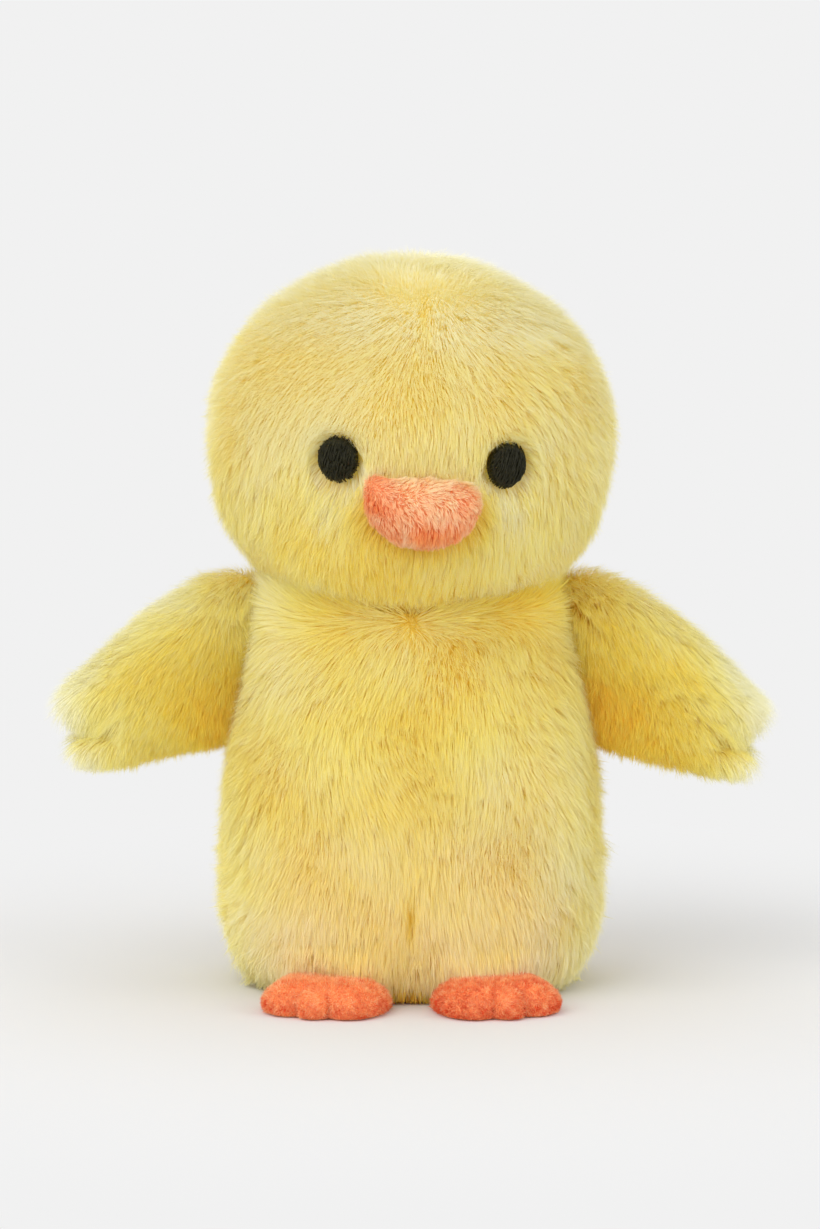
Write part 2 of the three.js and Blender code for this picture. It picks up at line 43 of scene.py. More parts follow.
class Flow:
    # One socket of a material; sums, differences and products of sockets add Math nodes.
    def __init__(self, tree, socket=None):
        self.tree = tree
        self.socket = socket

    def make(self, kind, settings=None, values=None, out=0):
        node = self.tree.nodes.new(kind)
        for key, value in (settings or {}).items():
            if key == "stops":
                while len(node.color_ramp.elements) < len(value):
                    node.color_ramp.elements.new(1.0)
                for element, (place, colour) in zip(node.color_ramp.elements, value):
                    element.position = place
                    element.color = (*colour, 1.0)
            else:
                setattr(node, key, value)
        for key, value in (values or {}).items():
            if isinstance(value, Flow):
                self.tree.links.new(value.socket, node.inputs[key])
            else:
                node.inputs[key].default_value = value
        return Flow(self.tree, node.outputs[out])

    def math(self, operation, first, second, clamped=False):
        settings = {"operation": operation, "use_clamp": clamped}
        return self.make("ShaderNodeMath", settings, {0: first, 1: second})

    def looked(self):
        # 1 where the camera looks, straight or by way of a gloss or glass
        kinds = ("Is Camera Ray", "Is Glossy Ray", "Is Transmission Ray")
        first, second, third = (self.make("ShaderNodeLightPath", out=kind) for kind in kinds)
        return self.math("ADD", first + second, third, clamped=True)

    def share(self, start, end, **settings):
        # 0 up to start, 1 from end on, and the share of the way between them
        return self.make("ShaderNodeMapRange", settings, {0: self, 1: start, 2: end, 3: 0.0, 4: 1.0})

    def axis(self, number):
        return self.make("ShaderNodeSeparateXYZ", None, {0: self}, number)

    def mixed(self, first, second):
        # the socket as a factor between two colours
        return self.make("ShaderNodeMix", {"data_type": "RGBA"}, {0: self, 6: first, 7: second}, 2)

    def into(self, socket):
        self.tree.links.new(self.socket, socket)

    def __add__(self, other):
        return self.math("ADD", self, other)

    __radd__ = __add__

    def __sub__(self, other):
        return self.math("SUBTRACT", self, other)

    def __rsub__(self, other):
        return self.math("SUBTRACT", other, self)

    def __mul__(self, other):
        return self.math("MULTIPLY", self, other)

    __rmul__ = __mul__


def tone(red, green, blue):
    # an sRGB colour of 0 to 255 as linear numbers
    value = np.array([red, green, blue]) / 255
    linear = np.where(value < 0.04045, value / 12.92, ((value + 0.055) / 1.055) ** 2.4)
    return tuple(float(v) for v in linear)


def pileShades(*rows):
    # Each row is a place on the way from deep to pale, then a strand's colours there from root to tip.
    return [
        (place, [(float(at), tone(*colour)) for at, colour in zip(np.linspace(0, 1, len(colours)), colours)])
        for place, *colours in rows
    ]


def newMaterial(name, roughness, sheen=0.0, sheenTint=(1.0, 1.0, 1.0), specular=0.3):
    material = bpy.data.materials.new(name)
    material.use_nodes = True
    tree = material.node_tree
    shader = next(node for node in tree.nodes if node.type == "BSDF_PRINCIPLED")
    shader.inputs["Roughness"].default_value = roughness
    shader.inputs["Specular IOR Level"].default_value = specular
    shader.inputs["Sheen Weight"].default_value = sheen
    shader.inputs["Sheen Roughness"].default_value = 0.5
    shader.inputs["Sheen Tint"].default_value = (*sheenTint, 1.0)
    return material, Flow(tree), shader


def showBoth(flow, shader, other, factor):
    # the material shows its shader and another one, in the factor's shares
    first = Flow(flow.tree, shader.outputs[0])
    both = flow.make("ShaderNodeMixShader", None, {0: factor, 1: first, 2: other})
    surface = next(node for node in flow.tree.nodes if node.type == "OUTPUT_MATERIAL")
    both.into(surface.inputs["Surface"])


def pileMaterial(name, shades, roughness, sheen, thin, warmShade=None):
    # Colour of a strand: v runs from root to tip, and u goes through the shades from deepest to palest.
    palest = shades[-1][1][-1][1]
    material, flow, shader = newMaterial(name, roughness, sheen, palest)
    place = flow.make("ShaderNodeUVMap", {"uv_map": "OFBake"})
    u, v = place.axis(0), place.axis(1)
    start, stops = shades[0]
    colour = flow.make("ShaderNodeValToRGB", {"stops": stops}, {0: v})
    for end, stops in shades[1:]:
        colour = u.share(start, end).mixed(colour, flow.make("ShaderNodeValToRGB", {"stops": stops}, {0: v}))
        start = end
    if warmShade:
        # painted warm shade that grows downwards and fades to the sides
        spotAt = flow.make("ShaderNodeTexCoord", out=3)
        low = spotAt.axis(2).share(warmShade["top"], warmShade["low"]) * warmShade["share"]
        aside = flow.math("ABSOLUTE", spotAt.axis(0), 0.0).share(warmShade["near"], warmShade["far"])
        colour = (low * (1 - aside)).mixed(colour, (*warmShade["tone"], 1.0))
    colour.into(shader.inputs["Base Color"])
    # Thin fibres let part of the light through.
    showBoth(flow, shader, flow.make("ShaderNodeBsdfTranslucent", None, {"Color": colour}), thin)
    return material


# Mottling of plain fabric: shares of a broad and a fine noise, and the bump's height in metres
mottle = {"broad": 0.6, "fine": 0.4, "finer": 6, "dark": 0.3, "light": 0.7, "bump": 0.0004}


def clothMaterial(name, dark, light, scale, bump, roughness, sheen, specular=0.3):
    # Mottled fabric: two scales of noise mix two colours, and the fine one lifts the surface.
    material, flow, shader = newMaterial(name, roughness, sheen, light, specular)
    place = flow.make("ShaderNodeTexCoord", out=3)
    broad, fine = (
        flow.make("ShaderNodeTexNoise", None, {"Vector": place, "Scale": size, "Detail": detail})
        for size, detail in ((scale, 4.0), (scale * mottle["finer"], 2.0))
    )
    factor = broad * mottle["broad"] + fine * mottle["fine"]
    stops = [(mottle["dark"], dark), (mottle["light"], light)]
    flow.make("ShaderNodeValToRGB", {"stops": stops}, {0: factor}).into(shader.inputs["Base Color"])
    lift = {"Strength": bump, "Distance": mottle["bump"], "Height": fine}
    flow.make("ShaderNodeBump", None, lift).into(shader.inputs["Normal"])
    return material


# Surfaces and meshes

def unit(many):
    # vectors drawn out or in to a length of 1
    return many / np.maximum(np.linalg.norm(many, axis=-1, keepdims=True), 1e-9)


def asVectors(x, y, z):
    # three arrays or numbers as one array of vectors
    return np.stack(np.broadcast_arrays(x, y, z), -1)


def ramp(value, start, end):
    # 0 at start and before it, 1 at end and past it, straight between them
    return np.clip((value - start) / (end - start), 0, 1)


def bell(value, middle, spread, power=2):
    # 1 at the middle, falling off to both sides: exp(-((value - middle) / spread)^power)
    return np.exp(-((value - middle) / spread) ** power)


def spot(points, front=False, **limits):
    # a product of bells along x, y and z and of ramps along toX, toY and toZ, on the front alone if asked
    found = points[:, 1] < 0 if front else 1.0
    for name, limit in limits.items():
        values = points[:, "xyz".index(name[-1].lower())]
        found = found * (ramp if name.startswith("to") else bell)(values, *limit)
    return found


def ringTurns(count):
    return np.linspace(0, 2 * np.pi, count, endpoint=False)


def closedSkin(rings, low, high):
    # A grid of rings, closed round and with a point at each end, as vertices and triangles.
    rows, columns = rings.shape[:2]
    vertices = np.concatenate([[low], rings.reshape(-1, 3), [high]])
    index = 1 + np.arange(rows * columns).reshape(rows, columns)
    after = np.roll(index, -1, axis=1)
    sides = [
        np.stack([index[:-1], after[:-1], after[1:]], -1).reshape(-1, 3),
        np.stack([index[:-1], after[1:], index[1:]], -1).reshape(-1, 3),
        np.stack([np.zeros(columns, int), after[0], index[0]], -1),
        np.stack([np.full(columns, rows * columns + 1), index[-1], after[-1]], -1),
    ]
    triangles = np.concatenate(sides)
    a, b, c = (vertices[triangles[:, k]] for k in range(3))
    if (a * np.cross(b, c)).sum() < 0:
        triangles = triangles[:, ::-1]
    return vertices, triangles


def cornerNormals(vertices, triangles):
    # The mean of the faces round each vertex, weighed by their areas.
    a, b, c = (vertices[triangles[:, k]] for k in range(3))
    across = np.cross(b - a, c - a)
    sums = [
        np.bincount(triangles.ravel(), np.repeat(across[:, axis], 3), len(vertices))
        for axis in range(3)
    ]
    return unit(np.stack(sums, 1))


def meshPiece(name, vertices, triangles, material, body, places=None, facing=None):
    # triangles in metres on their body, with a map and with normals where these are given
    mesh = bpy.data.meshes.new(name)
    mesh.vertices.add(len(vertices))
    mesh.vertices.foreach_set("co", (vertices * metre).astype(np.float32).ravel())
    mesh.loops.add(triangles.size)
    mesh.loops.foreach_set("vertex_index", triangles.astype(np.int32).ravel())
    mesh.polygons.add(len(triangles))
    mesh.polygons.foreach_set("loop_start", np.arange(0, triangles.size, 3, dtype=np.int32))
    mesh.polygons.foreach_set("use_smooth", np.ones(len(triangles), bool))
    if places is not None:
        layer = mesh.uv_layers.new(name="OFBake", do_init=False)
        layer.uv.foreach_set("vector", places[triangles.ravel()].astype(np.float32).ravel())
    mesh.update()
    if facing is not None:
        mesh.normals_split_custom_set_from_vertices(facing)
    mesh.materials.append(material)
    piece = bpy.data.objects.new(name, mesh)
    bpy.context.scene.collection.objects.link(piece)
    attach(piece, body)
    return piece


# Smooth noise: how many waves, their slowest and quickest share of the length's pace, and what levels the sum
noise = {"waves": 7, "slow": 0.6, "quick": 1.5, "level": 1.6}


def waves(points, length, seed):
    # Smooth noise from about -1 to 1: a sum of sine waves of about one length in random directions.
    rng = np.random.default_rng(seed)
    count = noise["waves"]
    aims = unit(rng.normal(size=(count, 3))) * 2 * np.pi / length
    aims = aims * rng.uniform(noise["slow"], noise["quick"], (count, 1))
    turns = rng.uniform(0, 2 * np.pi, count)
    return np.sin(points @ aims.T + turns).sum(1) / np.sqrt(count / 2) / noise["level"]


def swirls(points, length, seed):
    # smooth noise along each axis, as vectors
    return np.stack([waves(points, length, seed + k) for k in range(3)], 1)


def varied(points, length, share, seed):
    # a factor near 1 that changes smoothly by about the share
    return 1 + share * waves(points, length, seed)


def tinted(points, tints, seed, **masks):
    # the base tint with smooth noise, and each spot or mask times its own amount
    length, share = tints["wave"]
    tint = tints["base"] + share * waves(points, length, seed)
    for amount, limits in tints.get("spots", ()):
        tint = tint + amount * spot(points, **limits)
    for name, mask in masks.items():
        tint = tint + tints[name] * mask
    return tint


def scattered(cells, seed):
    # Three numbers from 0 to 1 for each whole-numbered cell, always the same for the same cell.
    mixedUp = cells.astype(np.int64) @ np.array([73856093, 19349663, 83492791]) + seed * 7919
    found = []
    for step in range(3):
        key = (mixedUp * 2654435761 + step * 40503) & 0xffffffff
        key = ((key ^ (key >> 15)) * 2246822519) & 0xffffffff
        key = ((key ^ (key >> 13)) * 3266489917) & 0xffffffff
        found.append(((key ^ (key >> 16)) & 0xffffff) / 0x1000000)
    return np.stack(found, 1)


def tufts(points, size, seed):
    # The nearest of one jittered point in each cell of a lattice, and that point's own numbers.
    cell = np.floor(points / size)
    nearest = np.full(len(points), np.inf)
    centre = np.zeros_like(points)
    own = np.zeros_like(points)
    for step in np.ndindex(3, 3, 3):
        near = cell + np.array(step) - 1
        numbers = scattered(near, seed)
        place = (near + numbers) * size
        apart = ((place - points) ** 2).sum(1)
        closer = apart < nearest
        nearest = np.where(closer, apart, nearest)
        centre = np.where(closer[:, None], place, centre)
        own = np.where(closer[:, None], numbers[:, ::-1], own)
    return centre, own


def rootsOver(vertices, triangles, count, seed):
    # Points spread evenly by area over triangles, with the smooth normal at each.
    rng = np.random.default_rng(seed)
    a, b, c = (vertices[triangles[:, k]] for k in range(3))
    area = np.linalg.norm(np.cross(b - a, c - a), axis=1)
    ends = np.cumsum(area)
    picks = (np.arange(count) + rng.uniform(size=count)) / count * ends[-1]
    face = np.minimum(np.searchsorted(ends, picks), len(triangles) - 1)
    r, s = np.sqrt(rng.uniform(size=count)), rng.uniform(size=count)
    shares = np.stack([1 - r, r * (1 - s), r * s], 1)
    corners = triangles[face]
    normals = cornerNormals(vertices, triangles)
    points = (vertices[corners] * shares[:, :, None]).sum(1)
    return points, unit((normals[corners] * shares[:, :, None]).sum(1))


def alongSurface(many, normals):
    # the part of each vector that lies in the surface
    return many - (many * normals).sum(1, keepdims=True) * normals


# Every strand: how it rises and lies over, how wild the odd one is, how unevenly it faces, its lowest point,
# and how its map keeps off the map's edges
strand = {
    "rise": 1.6, "fall": 0.6, "lay": 1.6, "draw": 1.3, "odd": 0.7, "oddPower": 5, "clumpPower": 6,
    "turn": 0.08, "thin": 0.7, "thick": 1.3, "floor": 0.4, "margin": 0.02, "mapWidth": 0.004,
}


def strands(points, normals, comb, height, tint, loose, settings, seed):
    # Each strand is a narrow blade. Its middle line is root + normal * height * (rise s - fall s^2)
    # + comb * s^lay, its tip is drawn towards its tuft, and it narrows to a point. Where loose is low,
    # the coat lies even. A strand is lit by its own faces.
    rng = np.random.default_rng(seed)
    count = len(points)
    centre, own = tufts(points, settings["tuft"], seed)
    draw = alongSurface(centre - points, normals) * settings["pull"] * loose[:, None]
    lean = alongSurface(own - 0.5, normals) * settings["tuftLean"] * loose[:, None]
    stray = alongSurface(rng.normal(size=(count, 3)), normals) * settings["stray"]
    uneven = settings["uneven"] * (own[:, 0] - 0.5) + settings["loose"] * rng.normal(size=count)
    size = height * (1 + uneven * loose)
    odd = strand["odd"] * rng.uniform(size=count) ** strand["oddPower"]
    wild = np.clip(odd + settings["clump"] * own[:, 2] ** strand["clumpPower"], 0, 1) * loose
    comb = comb * (1 - settings["fluff"] * wild)[:, None]
    size = size * (1 + settings["wisp"] * wild)
    steps = np.array(settings["steps"])
    rise = strand["rise"] * steps - strand["fall"] * steps ** 2
    line = (
        points[:, None, :]
        + normals[:, None, :] * (size[:, None] * rise)[:, :, None]
        + (comb + lean + stray)[:, None, :] * (steps ** strand["lay"])[None, :, None]
        + draw[:, None, :] * (steps ** strand["draw"])[None, :, None]
    )
    line[:, :, 2] = np.maximum(line[:, :, 2], strand["floor"])
    along = unit(line[:, -1] - line[:, 0])
    flat = unit(np.cross(along, normals) + strand["turn"] * rng.normal(size=(count, 3)))
    roll = rng.normal(size=(count, 1)) * settings["roll"]
    flat = np.cos(roll) * flat + np.sin(roll) * np.cross(along, flat)
    facing = unit(np.cross(flat, along))
    widths = settings["width"] * np.array(settings["taper"])
    thick = widths[None, :, None] * rng.uniform(strand["thin"], strand["thick"], count)[:, None, None]
    left = line - flat[:, None, :] * thick / 2
    right = line + flat[:, None, :] * thick / 2
    pairs = len(steps) - 1
    vertices = np.concatenate(
        [np.stack([left[:, :pairs], right[:, :pairs]], 2).reshape(count, -1, 3), line[:, -1:]], 1
    )
    perStrand = 2 * pairs + 1
    pattern = []
    for k in range(pairs - 1):
        pattern += [(2 * k, 2 * k + 1, 2 * k + 3), (2 * k, 2 * k + 3, 2 * k + 2)]
    pattern.append((2 * pairs - 2, 2 * pairs - 1, 2 * pairs))
    triangles = np.arange(count)[:, None, None] * perStrand + np.array(pattern)[None]
    change = settings["vary"] * (own[:, 1] - 0.5) + settings["fleck"] * rng.normal(size=count)
    shade = np.clip(tint + change * loose, 0, 1)
    margin, inside = strand["margin"], 1 - 2 * strand["margin"]
    u = margin + inside * shade
    v = margin + inside * np.append(np.repeat(steps[:pairs], 2), 1.0)
    sideways = np.append(np.tile([-strand["mapWidth"], strand["mapWidth"]], pairs), 0.0)
    places = np.stack([u[:, None] + sideways[None], np.broadcast_to(v, (count, perStrand))], 2)
    facing = np.repeat(facing, perStrand, axis=0)
    return vertices.reshape(-1, 3), triangles.reshape(-1, 3), places.reshape(-1, 2), facing


def furPieces(part, coat, panels, settings, body, material, seed):
    # One piece for each sewn panel, which has its solid's name; panels says which strands each one holds.
    for panel, belongs in panels.items():
        own = {key: values[belongs] for key, values in coat.items()}
        vertices, triangles, places, facing = strands(**own, settings=settings, seed=seed)
        piece = meshPiece(f"{part}_{panel}", vertices, triangles, material, body, places, facing)
        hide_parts(panel)
        seed += 1


def quarters(part, points):
    # the four sewn panels of the body or the head, by where the strands are rooted
    front, left = points[:, 1] < 0, points[:, 0] > 0
    return {
        f"{part}_front_left": front & left, f"{part}_front_right": front & ~left,
        f"{part}_back_left": ~front & left, f"{part}_back_right": ~front & ~left,
    }


def tubes(paths, radius, sides, up):
    # Round threads: each point of a path carries a ring of the radius, and a point closes each end.
    count = len(paths)
    along = unit(np.gradient(paths, axis=1))
    flat = unit(np.cross(along, up))
    over = np.cross(flat, along)
    turns = ringTurns(sides)[:, None]
    around = np.cos(turns) * flat[:, :, None] + np.sin(turns) * over[:, :, None]
    rings = paths[:, :, None] + radius * around
    first, faces = closedSkin(rings[0], paths[0, 0], paths[0, -1])
    vertices = np.concatenate([paths[:, :1], rings.reshape(count, -1, 3), paths[:, -1:]], 1)
    triangles = faces[None] + np.arange(count)[:, None, None] * len(first)
    return vertices.reshape(-1, 3), triangles.reshape(-1, 3)


def joined(*meshes):
    # several meshes as one list of vertices and triangles
    starts = np.cumsum([0] + [len(vertices) for vertices, _ in meshes])
    vertices = np.concatenate([vertices for vertices, _ in meshes])
    return vertices, np.concatenate([triangles + start for (_, triangles), start in zip(meshes, starts)])


# Stuffing of the small sewn covers: how much the copy is enlarged, its pressure, the most that a corner moves
stuffing = {"enlarge": 20.0, "pressure": 60.0, "cap": 0.8, "frames": 20}


def stuffed(vertices, triangles, held):
    # Cloth blown up by pressure, on an enlarged copy: held corners stay, no other moves past the cap.
    grown = stuffing["enlarge"]
    mesh = bpy.data.meshes.new("stuffed")
    mesh.from_pydata((vertices * metre * grown).tolist(), [], triangles.tolist())
    copy = bpy.data.objects.new("stuffed", mesh)
    scene = bpy.context.scene
    scene.collection.objects.link(copy)
    group = copy.vertex_groups.new(name="held")
    group.add(np.flatnonzero(held).tolist(), 1.0, "REPLACE")
    cloth = copy.modifiers.new("cloth", "CLOTH")
    cloth.settings.vertex_group_mass = "held"
    cloth.settings.use_pressure = True
    cloth.settings.uniform_pressure_force = stuffing["pressure"]
    cloth.settings.effector_weights.gravity = 0.0
    cloth.point_cache.frame_end = stuffing["frames"]
    for step in range(1, stuffing["frames"] + 1):
        scene.frame_set(step)
    shape = copy.evaluated_get(bpy.context.evaluated_depsgraph_get()).to_mesh()
    found = np.empty(len(vertices) * 3, np.float32)
    shape.vertices.foreach_get("co", found)
    moved = found.reshape(-1, 3) / metre / grown - vertices
    reach = np.maximum(np.linalg.norm(moved, axis=1, keepdims=True), 1e-9)
    bpy.data.objects.remove(copy)
    bpy.data.meshes.remove(mesh)
    scene.frame_set(1)
    print(f"stuffed: mean move {reach.mean():.3f} mm, most {reach.max():.3f} mm")
    return vertices + moved * np.minimum(1, stuffing["cap"] / reach)


# Camera: level with the wings, a little above the middle
camera = {
    "aim": (-0.25, 0.0, 86.0), "distance": 1000.0, "elevation": 6.0,
    "lens": 126.0, "sensor": 36.0, "far": 20.0,
}
angle = np.radians(camera["elevation"])
standpoint = np.array(camera["aim"]) + camera["distance"] * np.array([0, -np.cos(angle), np.sin(angle)])
cameraData = bpy.data.cameras.new("camera")
cameraData.sensor_fit = "VERTICAL"
cameraData.sensor_height = camera["sensor"]
cameraData.lens = camera["lens"]
cameraData.clip_end = camera["far"]
cameraPiece = bpy.data.objects.new("camera", cameraData)
cameraPiece.location = standpoint * metre
cameraPiece.rotation_euler = (np.radians(90 - camera["elevation"]), 0.0, 0.0)
bpy.context.scene.collection.objects.link(cameraPiece)
bpy.context.scene.camera = cameraPiece
bpy.context.scene.view_settings.view_transform = "Standard"
bpy.context.scene.cycles.max_bounces = 16  # light goes deep into pale fur
bpy.context.scene.cycles.diffuse_bounces = 12
bpy.context.scene.cycles.transmission_bounces = 12

# Light, in metres and watts: a broad soft lamp from the upper left, weak ones from the right and above,
# and an even room
light = {
    "key": {"place": (-0.85, -1.0, 1.02), "size": 1.6, "power": 12.6},
    "fill": {"place": (1.1, -0.7, 0.5), "size": 1.0, "power": 4.0},
    "top": {"place": (0.1, 0.2, 1.4), "size": 0.9, "power": 1.0},
    "aim": (0, 0, 0.085), "room": 0.9, "paper": tone(241, 241, 241),
}
for name in ("key", "fill", "top"):
    lampData = bpy.data.lights.new(name, "AREA")
    lampData.shape = "DISK"
    lampData.size = light[name]["size"]
    lampData.energy = light[name]["power"]
    lamp = bpy.data.objects.new(name, lampData)
    place = np.array(light[name]["place"])
    away = unit(place - np.array(light["aim"]))
    lamp.location = place
    lamp.rotation_euler = (float(np.arccos(away[2])), 0.0, float(np.arctan2(away[0], -away[1])))
    bpy.context.scene.collection.objects.link(lamp)

world = bpy.data.worlds.new("room")
bpy.context.scene.world = world
world.use_nodes = True
backdrop = next(node for node in world.node_tree.nodes if node.type == "BACKGROUND")
roomColour = Flow(world.node_tree).looked().mixed((light["room"],) * 3 + (1.0,), (*light["paper"], 1.0))
roomColour.into(backdrop.inputs["Color"])

# Floor: a square sheet that fades into the paper's colour away from the toy
floorSheet = {"half": 3000.0, "colour": 0.72, "near": 0.07, "far": 0.24}
floorMesh = bpy.data.meshes.new("floor")
half = floorSheet["half"] * metre
corners = [(-half, -half, 0), (half, -half, 0), (half, half, 0), (-half, half, 0)]
floorMesh.from_pydata(corners, [], [(0, 1, 2, 3)])
floorPiece = bpy.data.objects.new("floor", floorMesh)
bpy.context.scene.collection.objects.link(floorPiece)
paper, flow, shader = newMaterial("paper", 0.9, specular=0.0)
shader.inputs["Base Color"].default_value = (*(floorSheet["colour"],) * 3, 1.0)
floorSpot = flow.make("ShaderNodeTexCoord", out=3)
reach = flow.make("ShaderNodeVectorMath", {"operation": "LENGTH"}, {0: floorSpot}, 1)
fade = reach.share(floorSheet["near"], floorSheet["far"], interpolation_type="SMOOTHSTEP")
glow = flow.make("ShaderNodeEmission", None, {"Color": (*light["paper"], 1.0), "Strength": 1.0})
showBoth(flow, shader, glow, fade * flow.looked())
floorMesh.materials.append(paper)
print("camera, light and floor set")

# Fabrics
# each strand is deeper at the root than at the tip: partly the fibre's own tone, partly painted shade deep in
# the pile and painted highlight at the tips
furShades = pileShades(
    (0.0, (252, 202, 56), (254, 218, 74), (254, 231, 94)),
    (0.3, (253, 224, 84), (254, 238, 108), (254, 245, 132)),
    (0.6, (253, 236, 124), (254, 246, 158), (254, 251, 188)),
    (1.0, (252, 244, 182), (253, 251, 222), (253, 253, 244)),
)
# painted warm shade low on the coat, growing downwards and fading to the sides
furWarmShade = {"tone": tone(250, 180, 110), "share": 0.11, "top": 0.06, "low": 0.015, "near": 0.024, "far": 0.04}
yellowFur = pileMaterial("yellow_fur", furShades, 0.6, 0.2, 0.5, furWarmShade)
furBacking = clothMaterial("fur_backing", tone(248, 222, 92), tone(252, 236, 132), 900.0, 0.5, 0.95, 0.2)
beakShades = pileShades(
    (0.0, (246, 134, 70), (253, 170, 98), (254, 194, 124)),
    (1.0, (253, 216, 158), (255, 240, 196), (255, 248, 222)),
)
beakPile = pileMaterial("beak_plush", beakShades, 0.6, 0.2, 0.4)
beakBacking = clothMaterial("beak_backing", tone(242, 146, 98), tone(252, 184, 132), 1500.0, 0.5, 0.95, 0.2)
footShades = pileShades(
    (0.0, (230, 88, 44), (240, 112, 62)),
    (1.0, (253, 194, 130), (255, 230, 184)),
)
footPile = pileMaterial("foot_plush", footShades, 0.7, 0.2, 0.4)
footBacking = clothMaterial("foot_backing", tone(246, 140, 84), tone(254, 182, 122), 700.0, 0.6, 0.95, 0.3)
fibre = clothMaterial("fibre", tone(226, 224, 216), tone(250, 249, 245), 420.0, 1.0, 0.95, 0.3)
pouchCloth = clothMaterial("pouch_cloth", tone(214, 206, 188), tone(236, 230, 214), 1600.0, 0.6, 0.9, 0.1)
seamThread = clothMaterial("seam_thread", tone(206, 166, 70), tone(236, 204, 112), 1800.0, 0.6, 0.6, 0.1)
pelletPlastic = clothMaterial("pellets", tone(212, 218, 216), tone(234, 238, 236), 300.0, 0.1, 0.4, 0.0)
longPile = {
    "width": 0.135, "steps": (0.0, 0.5, 1.0), "taper": (1.0, 0.85, 0.0), "tuft": 1.5, "stray": 0.5,
    "fluff": 0.7, "wisp": 0.5, "uneven": 0.12, "loose": 0.07, "roll": 0.2, "vary": 0.16, "fleck": 0.07,
}
shortPile = {"width": 0.2, "stray": 0.25, "fluff": 0.5, "wisp": 0.2, "clump": 0.0}
print("fabrics ready")


def fibrePiece(name, vertices, triangles, body, node):
    core = meshPiece(name, vertices, triangles, fibre, body)
    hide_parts(node)


# Body: a barrel
barrel = {
    "baseHalf": 36.5, "bodyHalf": 45.0, "neckHalf": 33.5, "hip": 20.0, "neck": 92.0,
    "depthRatio": 76 / 90, "sectionPower": 2.4, "shoulderPower": 2.4,
    "pad": {"inset": 4.3, "underside": 2.4, "socket": 46.4, "rows": 70, "capRows": 12, "columns": 160},
}
headMiddle = np.array([0.0, 0.0, 128.4417])


def barrelOval(columns):
    # the section's outline as shares of its half width and half depth
    around = ringTurns(columns)
    power = 2 / barrel["sectionPower"]
    return [np.sign(value) * np.abs(value) ** power for value in (np.cos(around), np.sin(around))]


def barrelHalf(z):
    # The half width: a quarter ellipse out from the base to the hips, then a power curve in to the neck.
    below = np.clip(1 - z / barrel["hip"], 0, 1)
    climb = np.clip((z - barrel["hip"]) / (barrel["neck"] - barrel["hip"]), 0, None)
    low = barrel["baseHalf"] + (barrel["bodyHalf"] - barrel["baseHalf"]) * np.sqrt(1 - below ** 2)
    high = barrel["bodyHalf"] - (barrel["bodyHalf"] - barrel["neckHalf"]) * climb ** barrel["shoulderPower"]
    return np.where(z < barrel["hip"], low, high)


def barrelSkin(inset, underside, socket, rows, capRows, columns):
    # Oval rings from the underside to a rim, then a hollow cap on a sphere round the head's middle.
    shapeX, shapeY = barrelOval(columns)
    neck = barrel["neckHalf"]
    rimX, rimY = (neck - inset) * shapeX, (neck * barrel["depthRatio"] - inset) * shapeY
    rim = headMiddle[2] - np.sqrt(socket ** 2 - rimX ** 2 - rimY ** 2)
    climb = np.linspace(0, 1, rows)[:, None]
    z = underside + (rim[None] - underside) * climb
    half = barrelHalf(z)
    wall = np.stack([(half - inset) * shapeX, (half * barrel["depthRatio"] - inset) * shapeY, z], 2)
    share = np.linspace(1, 0, capRows + 1)[1:-1, None]
    capX, capY = wall[-1, :, 0] * share, wall[-1, :, 1] * share
    cap = np.stack([capX, capY, headMiddle[2] - np.sqrt(socket ** 2 - capX ** 2 - capY ** 2)], 2)
    low, high = [0, 0, underside], [0, 0, headMiddle[2] - socket]
    return closedSkin(np.concatenate([wall, cap]), low, high)


bodyFur = {
    **longPile, "strands": 200000, "height": 4.2, "lay": 6.0, "width": 0.14,
    "tuft": 1.8, "pull": 0.16, "tuftLean": 0.8, "clump": 0.7,
}
# Places on the coat are spots, ramps (start, end) or waves (length, share).
bodyCoat = {
    "swirl": 34, "swirlShare": 0.3, "layWave": (22, 0.12), "heightWave": (16, 0.06), "trimmed": 0.25,
    "rim": (82, 90), "rimTurn": 2.0, "rimParting": 2.0, "rimGrow": 0.55, "rimShade": (-26, -14), "tuck": 1.15,
    "foot": 17, "footSpread": 10, "footLimits": {"toY": (-12, -24), "toZ": (17.5, 13.5)}, "instep": 8,
    "footAhead": -6.2, "footLow": 0.4, "footRise": 2.6,
    "seam": {"front": True, "x": (0, 1.0), "z": (24, 4.5)}, "seamDepth": 0.45,
    "sideTuft": {"y": (0, 4), "z": (33, 1.6)}, "sideTuftFrom": 38, "sideTuftGrow": 0.5,
}
# golden on the chest; painted shadow between the feet; painted shade in the seam's groove and under the head;
# paler low down, in the middle of the collar as painted light against the head's shade, low on the left
# flank, and high and at the hem on the right one
bodyTint = {
    # seam and rim are painted shade: in the seam's groove, and under the head
    "base": 0.66, "wave": (24, 0.05), "seam": -0.55, "rim": -0.35,
    "spots": (
        (-0.14, {"front": True, "x": (0, 22), "z": (66, 18)}),
        # painted shadow between the feet
        (-1.0, {"front": True, "x": (0, 5), "toZ": (7, 3)}),
        (0.05, {"toZ": (46, 20)}),
        # painted light against the head's shade in the middle of the collar
        (0.15, {"x": (0, 16), "toZ": (78, 88)}),
        (0.14, {"toX": (0, 30), "toY": (2, -18), "toZ": (72, 58)}),
        (0.2, {"toX": (-14, -28), "toY": (2, -18), "toZ": (58, 72)}),
        (0.12, {"toX": (-14, -28), "toY": (2, -18), "toZ": (30, 20)}),
    ),
}
frontal = (0.3, 0.7)  # how far a normal points ahead, from the sides to the front
vertices, triangles = barrelSkin(**barrel["pad"])
bodyPad = meshPiece("body_pad", vertices, triangles, furBacking, "body")
wallCorners = 1 + barrel["pad"]["rows"] * barrel["pad"]["columns"]
